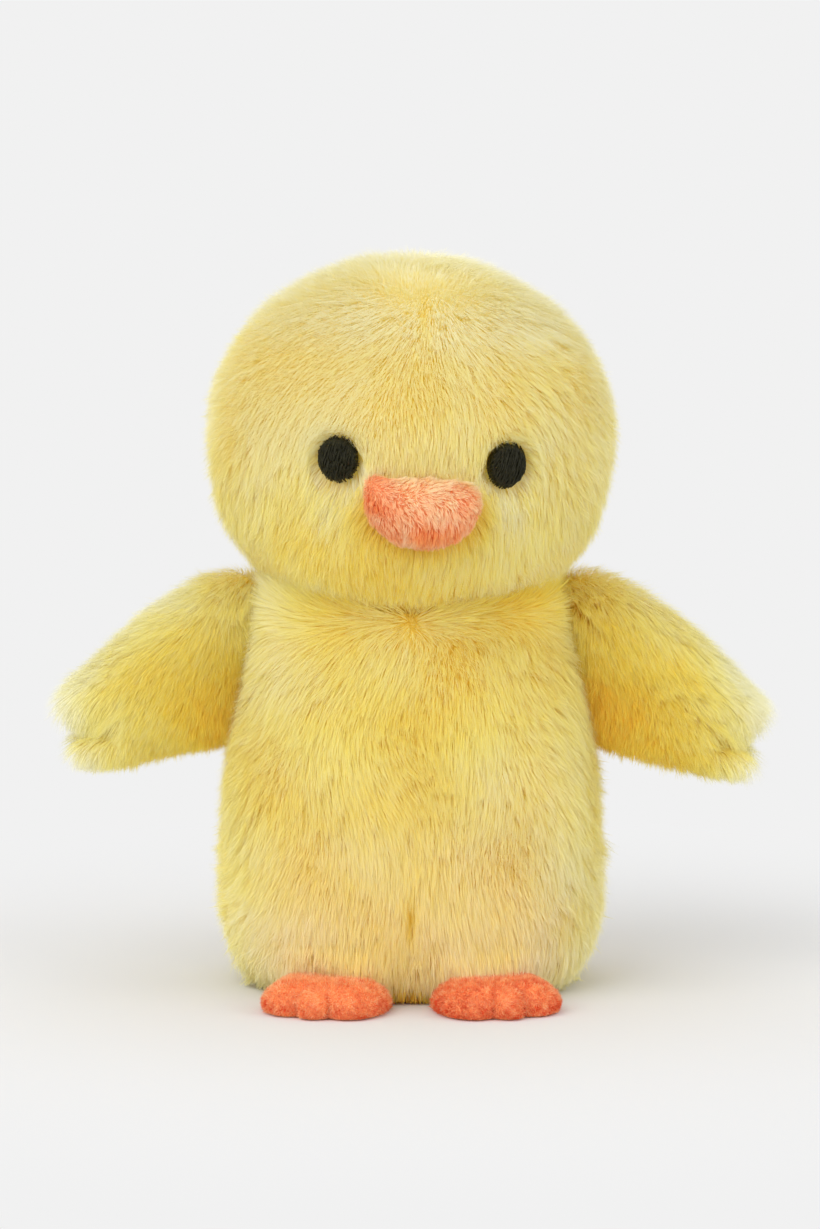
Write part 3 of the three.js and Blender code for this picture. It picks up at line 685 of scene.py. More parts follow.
wall = triangles[(triangles < wallCorners).all(1) & (triangles > 0).all(1)]
points, normals = rootsOver(vertices, wall, bodyFur["strands"], 11)
x, y, z = points.T
down = alongSurface(asVectors(0 * x, 0.0, -1.0), normals)
# under the head the coat turns from down to sideways and then up, so that it nowhere stands on end
rimGap = ramp(z, *bodyCoat["rim"])
rimTurn = bodyCoat["rimTurn"] * rimGap[:, None]
sweep = unit(asVectors(-y, x, 0.0)) * np.tanh(points[:, :1] / bodyCoat["rimParting"])
swirl = alongSurface(swirls(points, bodyCoat["swirl"], 21), normals)
comb = down * np.cos(rimTurn) + sweep * np.sin(rimTurn) + bodyCoat["swirlShare"] * swirl
comb *= bodyFur["lay"] * varied(points, *bodyCoat["layWave"], 24)[:, None]
# near the floor the coat follows the body in under itself
tuck = barrelHalf(z) - barrelHalf(np.maximum(z - bodyFur["lay"], 0.0))
overFoot = bell(np.abs(x), bodyCoat["foot"], bodyCoat["footSpread"], 4)
overFoot = overFoot * spot(points, **bodyCoat["footLimits"])
tuck = bodyCoat["tuck"] * tuck * (z < barrel["hip"]) * (1 - overFoot)
comb[:, :2] -= unit(points[:, :2]) * tuck[:, None]
# over the feet it comes forward and lies on them, lower at their sides
instep = bell(np.abs(x), bodyCoat["foot"], bodyCoat["instep"])
onFeet = asVectors(0.0, bodyCoat["footAhead"], bodyCoat["footLow"] + bodyCoat["footRise"] * instep)
comb = comb + overFoot[:, None] * onFeet
# The middle seam shows low on the belly, where the pile parts, and a tuft stands out low on the left side.
parting = spot(points, **bodyCoat["seam"])
sideTuft = spot(points, **bodyCoat["sideTuft"]) * (x > bodyCoat["sideTuftFrom"])
height = bodyFur["height"] * (1 - bodyCoat["seamDepth"] * parting)
height = height * varied(points, *bodyCoat["heightWave"], 25)
height = height * (1 + bodyCoat["rimGrow"] * rimGap) * (1 + bodyCoat["sideTuftGrow"] * sideTuft)
loose = 1 - bodyCoat["trimmed"] * ramp(-normals[:, 1], *frontal)
# the seam and the rim under the head are painted shade
tint = tinted(points, bodyTint, 26, seam=parting, rim=rimGap ** 2 * ramp(x, *bodyCoat["rimShade"]))
coat = {"points": points, "normals": normals, "comb": comb, "height": height, "tint": tint, "loose": loose}
furPieces("fur", coat, quarters("body", points), bodyFur, "body", yellowFur, 31)
print("body covered")

# Head: an egg above that changes into a ball below, turned and rolled a little on the body
egg = {
    "halfWidth": 47.75, "halfDepth": 44.0, "crown": 42.0, "ball": 49.5, "ballEdge": 38.0, "eggEdge": 78.0,
    "turn": 4.2, "roll": 2.3, "pad": {"inset": 4.3, "rows": 120, "columns": 180},
}


def turnedZ(degrees):
    # a turn about the upright axis
    turn = np.radians(degrees)
    return np.array([[np.cos(turn), -np.sin(turn), 0], [np.sin(turn), np.cos(turn), 0], [0, 0, 1]])


roll = np.radians(egg["roll"])
rolled = np.array([[np.cos(roll), 0, np.sin(roll)], [0, 1, 0], [-np.sin(roll), 0, np.cos(roll)]])
headTurn = turnedZ(egg["turn"]) @ rolled


def onHead(local):
    # from the head's own frame to the toy's
    return local @ headTurn.T + headMiddle


def fromBelow(aim):
    # degrees between a direction and straight down
    return np.degrees(np.arccos(np.clip(-aim[..., 2], -1, 1)))


def eggRadius(aim):
    # An oval's radius in each direction, blended into the ball's by a smooth step of the degrees from below.
    deep = np.where(aim[..., 2] > 0, egg["crown"], egg["ball"])
    oval = 1 / np.linalg.norm(aim / asVectors(egg["halfWidth"], egg["halfDepth"], deep), axis=-1)
    change = ramp(fromBelow(aim), egg["ballEdge"], egg["eggEdge"])
    change = change * change * (3 - 2 * change)
    return egg["ball"] + (oval - egg["ball"]) * change


def eggSkin(inset, rows, columns):
    # Directions on a sphere, each carried out to the egg's radius less the inset.
    polar = np.linspace(0, np.pi, rows + 2)[1:-1, None]
    around = ringTurns(columns)[None]
    level = np.sin(polar)
    aim = asVectors(level * np.cos(around), level * np.sin(around), -np.cos(polar))
    ends = np.array([[0, 0, -1.0], [0, 0, 1.0]])
    low, high = ends * (eggRadius(ends) - inset)[:, None]
    return closedSkin(aim * (eggRadius(aim) - inset)[..., None], low, high)


def faceAim(yaw, pitch):
    # a direction out of the head, turned from straight ahead to the left and upwards
    yaw, pitch = np.radians(yaw), np.radians(pitch)
    return np.array([np.cos(pitch) * np.sin(yaw), -np.cos(pitch) * np.cos(yaw), np.sin(pitch)])


# The face: the coat ends at each edge, is pushed away from it by a bell, and never lies over it
face = {
    "eyeYaw": 27.0, "eyePitch": -6.0, "beakPitch": -17.4,
    "beakWide": 12.0, "beakDeep": 7.0, "beakDrop": 1.5, "behind": 9.0,
    "eye": {"edge": 4.8, "push": 1.1, "bell": (4.5, 2.0), "reach": 4.5},
    "beak": {"edge": 0.9, "push": 0.6, "bell": (0.9, 0.4), "reach": 0.5},
    "cover": 1.25, "nearEye": (4.5, 2.2), "nearBeak": (0.9, 0.45),
}
eyeAims = [faceAim(sign * face["eyeYaw"], face["eyePitch"]) for sign in (1, -1)]
eyePlaces = [aim * eggRadius(aim) for aim in eyeAims]
beakAim = faceAim(0.0, face["beakPitch"])
beakPlace = beakAim * eggRadius(beakAim)
headFur = {
    **longPile, "strands": 210000, "height": 4.2, "lay": 5.6, "pull": 0.14, "tuftLean": 0.6, "stray": 0.45,
    "wisp": 0.45, "clump": 0.6, "uneven": 0.1, "loose": 0.06,
}
# Places in the head's own frame, in millimetres, or in degrees from below for neck, chin and hang
headCoat = {
    "neck": 39.0, "chin": (66, 44), "hang": (88, 73), "chinShort": 0.45, "chinLay": 0.2, "chinLoose": 0.6,
    "hangLay": 0.3, "swirl": 30, "swirlShare": 0.18, "layWave": (20, 0.12), "heightWave": (15, 0.05),
    "down": 0.85, "spread": 14, "sideways": 0.6, "back": 12, "ahead": 0.4, "highGrow": 1.6,
    "whorlSize": 7, "whorlTurn": 0.7, "whorlShare": 0.8, "whorlFull": 2,
    "calmEdge": -9, "calmSoft": 4, "calmLow": (-12, 2), "calmLay": 0.3, "calmLoose": 0.75,
    "seam": {"front": True, "x": (0, 1.2), "z": (28, 4.5)}, "seamDepth": 0.35, "eyeShort": 0.45,
    "crown": (0.45, 0.9), "brow": {"front": True, "x": (0, 24), "toZ": (-4, 6)}, "browLoose": 0.5,
    "cheek": (19.5, 4), "cheekHigh": 3.5, "cheekLoose": 0.5,
}
# pale on the crown, partly as painted highlight, and on the cheeks, the left side and under the eyes; golden
# round the beak and low on the right side; golden as painted shade in the seam's groove and under the chin
headTint = {
    # the crown is partly painted highlight, the seam painted shade
    "base": 0.72, "wave": (24, 0.05), "seam": -0.35, "crown": 0.5, "calm": 0.14, "beak": -0.35,
    "underEye": 0.35, "cheek": 0.2,
    "spots": (
        (-0.22, {"front": True, "x": (-18, 14), "z": (-24, 12)}),
        (0.12, {"toX": (0, 30), "toZ": (-10, 10)}),
        # painted shade under the chin
        (-0.16, {"front": True, "x": (0, 18), "toZ": (-18, -26)}),
    ),
}
vertices, triangles = eggSkin(**egg["pad"])
headPad = meshPiece("head_pad", onHead(vertices), triangles, furBacking, "head")
points, normals = rootsOver(vertices, triangles, headFur["strands"], 12)


def faceGaps(points):
    # each root's place on the outer face, and how far it is from the eyes and, in shares, from the beak
    aims = unit(points)
    outer = aims * eggRadius(aims)[:, None]
    eyeGaps = [np.linalg.norm(outer - place, axis=1) for place in eyePlaces]
    across, _, up = (outer - beakPlace).T
    beakGap = np.hypot(across / face["beakWide"], (up + face["beakDrop"]) / face["beakDeep"])
    return aims, outer, eyeGaps, np.where(points[:, 1] < 0, beakGap, face["behind"])


aims, outer, eyeGaps, beakGap = faceGaps(points)
keep = (fromBelow(aims) > headCoat["neck"]) & (beakGap > face["beak"]["edge"])
keep = keep & (np.minimum(*eyeGaps) > face["eye"]["edge"])
points, normals = points[keep], normals[keep]
aims, outer, eyeGaps, beakGap = faceGaps(points)
below = fromBelow(aims)
x, y, z = points.T
front = y < 0
down = alongSurface(asVectors(0 * x, 0.0, -1.0), normals)
sideways = alongSurface(asVectors(np.clip(x / headCoat["spread"], -1, 1), 0.0, 0.0), normals)
ahead = alongSurface(asVectors(0.0, np.clip(y / headCoat["back"], -1, 1), 0.0), normals)
high = np.clip(aims[:, 2] * headCoat["highGrow"], 0, 1)[:, None]
swirl = alongSurface(swirls(points, headCoat["swirl"], 41), normals)
comb = down * headCoat["down"] + high * (headCoat["sideways"] * sideways + headCoat["ahead"] * ahead)
comb = comb + headCoat["swirlShare"] * swirl
# at the crown it lies in a whorl, so that it doesn't stand on end where all the other directions vanish
whorl = asVectors(x - headCoat["whorlTurn"] * y, y + headCoat["whorlTurn"] * x, 0.0)
whorl = whorl * (np.exp(-(x ** 2 + y ** 2) / headCoat["whorlSize"] ** 2) * (z > 0))[:, None]
whorlShare = np.clip(np.linalg.norm(whorl, axis=1) / headCoat["whorlFull"], 0, 1)[:, None]
comb = comb + headCoat["whorlShare"] * alongSurface(unit(whorl), normals) * whorlShare
edges = [(gap, place, face["eye"]) for gap, place in zip(eyeGaps, eyePlaces)]
edges.append((beakGap, beakPlace, face["beak"]))
for gap, place, edge in edges:
    away = unit(alongSurface(outer - place, normals))
    comb = comb + edge["push"] * away * bell(gap, *edge["bell"])[:, None]
for gap, place, edge in edges:
    inward = unit(alongSurface(place - outer, normals))
    cover = np.clip(face["cover"] - (gap - edge["edge"]) / edge["reach"], 0, 1)
    comb = comb - inward * (np.clip((comb * inward).sum(1), 0, None) * cover)[:, None]
# the coat stands smoother on the upper right side of the face than on its left
calm = 1 / (1 + np.exp((x - headCoat["calmEdge"]) / headCoat["calmSoft"])) * ramp(z, *headCoat["calmLow"])
chin = ramp(below, *headCoat["chin"])  # shorter where the head sinks into the chest
hang = 1 + headCoat["hangLay"] * ramp(below, *headCoat["hang"]) - headCoat["chinLay"] * chin
hang = hang * (1 - headCoat["calmLay"] * calm) * varied(points, *headCoat["layWave"], 44)
comb *= headFur["lay"] * hang[:, None]
nearEye = bell(np.minimum(*eyeGaps), *face["nearEye"])
# The middle seam shows on the forehead, where the pile parts.
parting = spot(points, **headCoat["seam"])
short = headCoat["seamDepth"] * parting + headCoat["eyeShort"] * nearEye + headCoat["chinShort"] * chin
height = headFur["height"] * (1 - short) * varied(points, *headCoat["heightWave"], 45)
# the pile is trimmed even on the face, looser at its sides and under the chin, with a tuft beside the beak
brow = spot(points, **headCoat["brow"])
cheek = bell(np.abs(x), *headCoat["cheek"]) * bell(z, beakPlace[2], headCoat["cheekHigh"]) * front
trimmed = np.maximum(headCoat["calmLoose"] * calm, headCoat["browLoose"] * brow)
loose = 1 - ramp(-normals[:, 1], *frontal) * trimmed
loose = loose + headCoat["chinLoose"] * chin + headCoat["cheekLoose"] * cheek
# painted highlight on the crown, in part, and painted shade in the seam and under the chin
tint = tinted(
    points, headTint, 46, seam=parting, crown=ramp(aims[:, 2], *headCoat["crown"]), calm=calm, cheek=cheek,
    beak=bell(beakGap, *face["nearBeak"]), underEye=nearEye * (aims[:, 2] < eyeAims[0][2]),
)
coat = {
    "points": onHead(points), "normals": normals @ headTurn.T, "comb": comb @ headTurn.T,
    "height": height, "tint": tint, "loose": loose,
}
furPieces("fur", coat, quarters("head", points), headFur, "head", yellowFur, 51)
print("head covered")

# Wings: flat pillows over an outline with a long and a short tip
wing = {
    "root": 36.0, "reach": 41.0, "droop": 22.0, "lift": {"left": 0.0, "right": 3.0},
    "rootFade": 7.0, "rootDeep": 5.0, "rootPart": 7, "shoulder": 6.0, "shoulderReach": 10.0, "rise": 4.2,
    "headRoom": 48.5, "crease": ((35.0, 28.0), (25.5, 22.5)), "creaseWidth": 1.7, "creaseDepth": 0.7,
    "notch": (33.5, 27.5), "lobe": (34.0, 36.0), "middle": (0.42, 0.3), "power": 2.6, "fullness": 0.6,
    "tilt": 13.9857, "place": (39.9205, 0.0, 72.5),
    "leading": ((0.2, -0.08), (0.62, 0.35), (0.9, 0.77)), "trailing": ((0.45, 0.66),),
    "pad": {"shrink": 0.8, "thickness": 12.0, "rows": 26, "columns": 150},
    "fibre": {"shrink": 0.68, "thickness": 6.4, "rows": 8, "columns": 60},
}
wingFur = {
    **longPile, "strands": 60000, "height": 4.0, "lay": 4.8, "pull": 0.15, "tuftLean": 0.7, "clump": 0.5,
}
# Places on the wing's own flat: x outwards from its root, z up
wingCoat = {
    "out": 0.3, "topOut": 0.7, "down": -0.93, "swirl": 26, "swirlShare": 0.3, "heightWave": (14, 0.08),
    "crease": 0.7, "tip": (20, 40), "tipLay": 0.4, "rootReach": 15, "rootTop": (14, -2),
    "shoulder": {"x": (2, 9), "z": (25, 8)}, "shoulderShort": 0.3, "lobe": {"x": (30, 7), "z": (-29, 7)},
    "edgeDeep": 9, "edgeReach": 16, "edgeLeast": 0.2,
    "upperEdge": ((1.7, 9.1, 23.8, 33.0, 36.2), (21.2, 20.4, 3.2, -11.2, -18.9)),
}
# golden near the root, in the sewn crease and at the shoulder, all as painted shade, and a little deeper on
# the whole left wing as painted shade; paler at the tip and along the upper edge, which falls from the
# shoulder to the tip
wingTint = {
    # side, crease, root and shoulder are painted shade
    "base": 0.56, "side": -0.04, "wave": (22, 0.06), "crease": -0.4, "root": -0.5, "shoulder": -0.05,
    "edge": 0.36, "lobe": 0.3, "tip": 0.38, "tipSide": 0.1,
}


def throughPoints(points, count):
    # A smooth line through points: the uniform Catmull-Rom cubic between each pair.
    points = np.array(points, float)
    at = np.linspace(0, len(points) - 1, count)
    index = np.minimum(at.astype(int), len(points) - 2)
    t = (at - index)[:, None]
    p0 = points[np.where(index == 0, index, index - 1)]
    p1, p2 = points[index], points[index + 1]
    p3 = points[np.minimum(index + 2, len(points) - 1)]
    v0, v1 = (p2 - p0) / 2, (p3 - p1) / 2
    return (2 * p1 - 2 * p2 + v0 + v1) * t ** 3 + (3 * p2 - 3 * p1 - 2 * v0 - v1) * t ** 2 + v0 * t + p1


def creaseNear(flat, lift):
    # 1 on the short sewn line from the notch into the wing, falling off to each side of it
    (x0, z0), (x1, z1) = wing["crease"]
    start, run = np.array([x0, lift - z0]), np.array([x1 - x0, z0 - z1])
    share = np.clip(((flat - start) @ run) / (run @ run), 0, 1)[..., None]
    return bell(np.linalg.norm(flat - start - share * run, axis=-1), 0, wing["creaseWidth"])


def wingSkin(side, shrink, thickness, rows, columns):
    # Rings of the outline drawn in to its middle, swelling as (1 - ring^power)^fullness.
    lift, half = wing["lift"][side], wing["root"] / 2
    tip = np.array([wing["reach"], lift - wing["droop"]])
    notch = np.array([wing["notch"][0], lift - wing["notch"][1]])
    lobe = np.array([wing["lobe"][0], lift - wing["lobe"][1]])
    leading = [(out * tip[0], half + (tip[1] - half) * fall) for out, fall in wing["leading"]]
    trailing = [(out * lobe[0], -half + (lobe[1] + half) * fall) for out, fall in wing["trailing"]]
    rootCount = columns // wing["rootPart"]
    edge = throughPoints([(0, half), *leading, tip, notch, lobe, *trailing, (0, -half)], columns - rootCount)
    rootLine = np.stack([np.zeros(rootCount), np.linspace(-half, half, rootCount + 2)[1:-1]], 1)
    outline = np.concatenate([edge, rootLine])
    raised = np.exp(-outline[:, 0] / wing["shoulderReach"]) * np.clip(outline[:, 1] / half, 0, 1)
    outline[:, 1] += wing["shoulder"] * raised + wing["rise"] * (1 - outline[:, 0] / wing["reach"])
    middle = np.array([wing["middle"][0] * wing["reach"], wing["middle"][1] * (lift - wing["droop"])])
    ring = np.sin(np.linspace(0, np.pi / 2, rows + 1)[1:])[:, None, None]
    drawn = np.full(outline.shape, shrink)
    drawn[:, 0] = np.where(outline[:, 0] < middle[0], (1 + shrink) / 2, shrink)
    flat = middle + (outline - middle) * drawn * ring
    flat[..., 0] -= wing["rootDeep"] * np.clip(1 - flat[..., 0] / middle[0], 0, 1) ** 2
    swell = (1 - np.clip(ring[..., 0], 0, 1) ** wing["power"]) ** wing["fullness"]
    swell = swell * np.clip(flat[..., 0] / wing["rootFade"] + 1, 0, 1) * thickness / 2
    swell = swell * (1 - wing["creaseDepth"] * creaseNear(flat, lift))
    frontRings = np.stack([flat[..., 0], -swell, flat[..., 1]], 2)
    backRings = np.stack([flat[..., 0], swell, flat[..., 1]], 2)[::-1][1:]
    poles = [[middle[0], sign * thickness / 2, middle[1]] for sign in (-1, 1)]
    return closedSkin(np.concatenate([frontRings, backRings]), *poles)


def wingFrame(sign):
    # a wing's own axes and the place of its root in the toy's frame
    lean, up = np.sin(np.radians(wing["tilt"])), np.cos(np.radians(wing["tilt"]))
    axes = np.array([[sign * up, 0, lean], [0, 1, 0], [-sign * lean, 0, up]])
    return axes, np.array(wing["place"]) * (sign, 1, 1)


sides = (("left", 1), ("right", -1))  # a mirrored side has its faces turned round by [:, ::sign]
for side, sign in sides:
    body = f"wing_{side}"
    axes, place = wingFrame(sign)
    lift = wing["lift"][side]
    vertices, triangles = wingSkin(side, **wing["pad"])
    vertices, triangles = vertices @ axes + place, triangles[:, ::sign]
    core, coreFaces = wingSkin(side, **wing["fibre"])
    core, coreFaces = core @ axes + place, coreFaces[:, ::sign]
    fibrePiece(f"wing_fibre_{side}", core, coreFaces, body, f"wing_stuffing_{side}")
    pad = meshPiece(f"wing_pad_{side}", vertices, triangles, furBacking, body)
    points, normals = rootsOver(vertices, triangles, wingFur["strands"], 13 + sign)
    clear = np.linalg.norm(points - headMiddle, axis=1) > wing["headRoom"]
    points, normals = points[clear], normals[clear]
    front = points[:, 1] < 0
    local = (points - place) @ axes.T
    x, _, z = local.T
    # down the wing's faces and outwards along its upper edge
    onTop = np.clip(normals[:, 2], 0, 1)
    out = asVectors(sign * (wingCoat["out"] + wingCoat["topOut"] * onTop), 0.0, wingCoat["down"])
    swirl = alongSurface(swirls(points, wingCoat["swirl"], 61), normals)
    comb = (alongSurface(out, normals) + wingCoat["swirlShare"] * swirl) * wingFur["lay"]
    sewn = creaseNear(local[:, [0, 2]], lift) * front
    tip = ramp(x, *wingCoat["tip"])
    comb = comb * ((1 - wingCoat["crease"] * sewn) * (1 + wingCoat["tipLay"] * tip))[:, None]
    shoulder = spot(local, **wingCoat["shoulder"])
    height = wingFur["height"] * varied(points, *wingCoat["heightWave"], 64)
    height = height * (1 - wingCoat["crease"] * sewn) * (1 - wingCoat["shoulderShort"] * shoulder)
    # painted shade near the root, in the crease against the body
    paintedRootShade = np.exp(-np.clip(x, 0, None) / wingCoat["rootReach"]) * ramp(z, *wingCoat["rootTop"])
    edgeHigh = np.interp(x, *wingCoat["upperEdge"]) + lift * x / wing["reach"]
    upperEdge = np.clip(1 - (edgeHigh - z) / wingCoat["edgeDeep"], 0, 1)
    upperEdge = upperEdge * np.clip(x / wingCoat["edgeReach"], wingCoat["edgeLeast"], 1)
    # painted shade on the left wing, in the crease, near the root and at the shoulder
    tint = tinted(
        points, wingTint, 65, side=sign, crease=sewn, root=paintedRootShade, shoulder=shoulder, edge=upperEdge,
        lobe=spot(local, **wingCoat["lobe"]), tip=tip, tipSide=sign * tip,
    )
    coat = {
        "points": points, "normals": normals, "comb": comb, "height": height, "tint": tint,
        "loose": np.ones(len(points)),
    }
    panels = {f"wing_front_{side}": front, f"wing_back_{side}": ~front}
    furPieces("fur", coat, panels, wingFur, body, yellowFur, 71 + sign)
print("wings covered")

# Eyes: lines of short stitches over a low dome, with a ragged border of stitches all round
eye = {
    "halfWidth": 4.6, "halfHeight": 4.85, "rise": 2.2, "depth": 0.9, "lean": 14.0, "lines": 48,
    "stitches": 4, "thread": 0.15, "steps": 6, "ragged": 0.7, "lift": 0.2, "bulge": 0.3, "border": 84,
    "sides": 5, "outmost": 0.97, "cut": 0.4, "borderFrom": 0.8, "borderReach": 0.22, "borderUneven": 0.12,
    "flatten": 0.94, "domeRows": 10, "domeColumns": 40, "domeShare": 0.96, "domeSunk": 0.1, "domeDeep": 1.2,
}
straightUp = np.array([0, 0, 1.0])


def eyeDome(across, up):
    # The stitching's height: rise * sqrt(1 - flatten r^2), with r the share of the way to the oval's edge.
    share = np.hypot(across / eye["halfWidth"], up / eye["halfHeight"])
    return eye["rise"] * np.sqrt(np.clip(1 - eye["flatten"] * share ** 2, 0, 1))


eyeThread = clothMaterial("eye_thread", tone(12, 12, 5), tone(50, 48, 22), 2600.0, 0.4, 0.28, 0.0, 0.24)
for side, aim, seed in (("left", eyeAims[0], 81), ("right", eyeAims[1], 82)):
    rng = np.random.default_rng(seed)
    lean = np.radians(eye["lean"])
    offset = np.linspace(-eye["outmost"], eye["outmost"], eye["lines"])[:, None, None]
    long = eye["halfHeight"] * np.sqrt(1 - offset ** 2)
    low = -long + eye["ragged"] * rng.uniform(-1, 0.5, long.shape)
    high = long + eye["ragged"] * rng.uniform(-0.5, 1, long.shape)
    cutCount = eye["stitches"] + 1
    cuts = np.arange(cutCount) + rng.uniform(-eye["cut"], eye["cut"], (eye["lines"], cutCount))
    cuts = np.clip(cuts / eye["stitches"], 0, 1)
    cuts[:, 0], cuts[:, -1] = 0, 1
    run = np.linspace(0, 1, eye["steps"])
    bulge = eye["bulge"] * np.sin(np.pi * run)
    track = low + (high - low) * (cuts[:, :-1, None] + np.diff(cuts, axis=1)[:, :, None] * run)
    apart = rng.uniform(-1, 1, (2, eye["lines"], eye["stitches"], 1)) * eye["lift"]
    sideways = offset * eye["halfWidth"] + apart[0]
    x = sideways * np.cos(lean) + track * np.sin(lean)
    y = track * np.cos(lean) - sideways * np.sin(lean)
    lines = np.stack([x, y, eyeDome(x, y) + apart[1] + bulge], 3).reshape(-1, eye["steps"], 3)
    turn = ringTurns(eye["border"])[:, None]
    ragged = eye["borderUneven"] * rng.uniform(-1, 1, (eye["border"], 1))
    reach = eye["borderFrom"] + (eye["borderReach"] + ragged) * run
    x, y = eye["halfWidth"] * reach * np.cos(turn), eye["halfHeight"] * reach * np.sin(turn)
    border = np.stack([x, y, eyeDome(x, y) + bulge], 2)
    threads = tubes(np.concatenate([lines, border]), eye["thread"], eye["sides"], straightUp)
    share = np.linspace(1, 0, eye["domeRows"] + 1)[:-1, None] * eye["domeShare"]
    around = ringTurns(eye["domeColumns"])[None]
    x, y = eye["halfWidth"] * share * np.cos(around), eye["halfHeight"] * share * np.sin(around)
    rings = np.stack([x, y, eyeDome(x, y) - eye["domeSunk"]], 2)
    foundation = rings[:1] * (1, 1, 0) - (0, 0, eye["domeDeep"])
    poles = [[0, 0, -eye["domeDeep"]], [0, 0, eye["rise"] - eye["domeSunk"]]]
    vertices, triangles = joined(closedSkin(np.concatenate([foundation, rings]), *poles), threads)
    across = unit(np.cross(straightUp, aim))
    axes = np.stack([across, np.cross(aim, across), aim])
    vertices = vertices @ axes + aim * (eggRadius(aim) - eye["rise"] - eye["depth"])
    piece = meshPiece(f"eye_stitching_{side}", onHead(vertices), triangles, eyeThread, "head")
    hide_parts(f"eye_{side}")
print("eyes stitched")

# Beak: a small cushion, flatter above its middle than below, with a fold at its upper right corner
beak = {
    "half": 13.25, "reach": 11.0, "rise": 6.0, "fall": 9.5, "power": 2.5, "topPower": 3.4, "topGrow": 3,
    "taper": 0.26, "tilt": 8.7, "seamDrop": 1.0, "fold": (-12.3, 4.0), "foldSize": 3.0,
    "foldLift": (-1.3, -0.4, 2.6), "held": -1.5,
    "pad": {"inset": 1.1, "rows": 46, "columns": 96}, "fibre": {"inset": 2.6, "rows": 18, "columns": 36},
}
beakFur = {
    **shortPile, "strands": 17000, "height": 1.3, "lay": 2.2, "steps": (0.0, 0.5, 1.0),
    "taper": (1.0, 0.85, 0.0), "tuft": 1.5, "pull": 0.35, "tuftLean": 0.9, "uneven": 0.25, "loose": 0.1,
    "roll": 0.3, "vary": 0.3, "fleck": 0.08,
}
# Places in the beak's own frame, and the lay of its nap above and below
beakCoat = {
    "back": 0.5, "top": (-3, 5), "topLay": (0.8, -0.2, -0.2), "lowLay": (0.1, -0.1, -0.9),
    "swirl": 9, "swirlShare": 0.3, "heightWave": (5, 0.2),
    "facet": {"x": (-11, 3.5), "toZ": (-1.8, 1.2)}, "facetShort": 0.4,
}
# pale above as painted highlight, deeper in a crease as painted shade, and deeper on the right side's facet
beakTint = {
    # top is painted highlight
    "base": 0.44, "wave": (7, 0.16), "top": 0.5, "facet": -0.65,
    # painted shade in the crease
    "spots": ((-0.55, {"x": (3, 5), "z": (-4, 2.5)}),),
}


def beakSkin(inset, rows, columns):
    # |x/half|^p + |y/reach|^p + |z/rise|^p = 1 round the beak's middle, squarer above than below, narrowing
    # downwards, with one corner drawn out to a fold.
    polar = np.linspace(np.pi, 0, rows + 2)[:, None]
    around = ringTurns(columns)[None]
    aim = asVectors(np.sin(polar) * np.cos(around), np.sin(polar) * np.sin(around), np.cos(polar))
    deep = np.where(aim[..., 2] < 0, beak["fall"], beak["rise"])
    halves = asVectors(beak["half"], beak["reach"], deep) - inset
    squarer = np.clip(aim[..., 2] * beak["topGrow"], 0, 1)
    power = (beak["power"] + (beak["topPower"] - beak["power"]) * squarer)[..., None]
    skin = aim * (np.abs(aim / halves) ** power).sum(2, keepdims=True) ** (-1 / power)
    skin[..., 0] *= 1 - beak["taper"] * np.clip(-skin[..., 2] / beak["fall"], 0, 1)
    apart = np.hypot(skin[..., 0] - beak["fold"][0], skin[..., 2] - beak["fold"][1])
    skin = skin + bell(apart, 0, beak["foldSize"])[..., None] * np.array(beak["foldLift"])
    return closedSkin(skin[1:-1], skin[0, 0], skin[-1, 0])


nod = np.radians(beak["tilt"])
beakTurn = np.array([[1, 0, 0], [0, np.cos(nod), -np.sin(nod)], [0, np.sin(nod), np.cos(nod)]])


def onBeak(local):
    # from the beak's own frame to the head's
    return local @ beakTurn.T + beakPlace


vertices, triangles = beakSkin(**beak["pad"])
vertices = stuffed(vertices, triangles, vertices[:, 1] > beak["held"])
pad = meshPiece("beak_pad", onHead(onBeak(vertices)), triangles, beakBacking, "head")
points, normals = rootsOver(vertices, triangles, beakFur["strands"], 14)
keep = points[:, 1] < beakCoat["back"]
points, normals = points[keep], normals[keep]
top = ramp(points[:, 2], *beakCoat["top"])
comb = top[:, None] * np.array(beakCoat["topLay"]) + (1 - top[:, None]) * np.array(beakCoat["lowLay"])
comb = comb + beakCoat["swirlShare"] * swirls(points, beakCoat["swirl"], 91)
comb = alongSurface(comb, normals) * beakFur["lay"]
facet = spot(points, **beakCoat["facet"])
height = beakFur["height"] * varied(points, *beakCoat["heightWave"], 94)
height = height * (1 - beakCoat["facetShort"] * facet)
# the pale top is painted highlight, the spot in the crease painted shade
tint = tinted(points, beakTint, 95, top=top, facet=facet)
coat = {
    "points": onHead(onBeak(points)), "normals": normals @ beakTurn.T @ headTurn.T,
    "comb": comb @ beakTurn.T @ headTurn.T, "height": height, "tint": tint, "loose": np.ones(len(points)),
}
upper = points[:, 2] > -beak["seamDrop"]
panels = {"beak_upper": upper, "beak_lower": ~upper}
furPieces("nap", coat, panels, beakFur, "head", beakPile, 101)
print("beak covered")

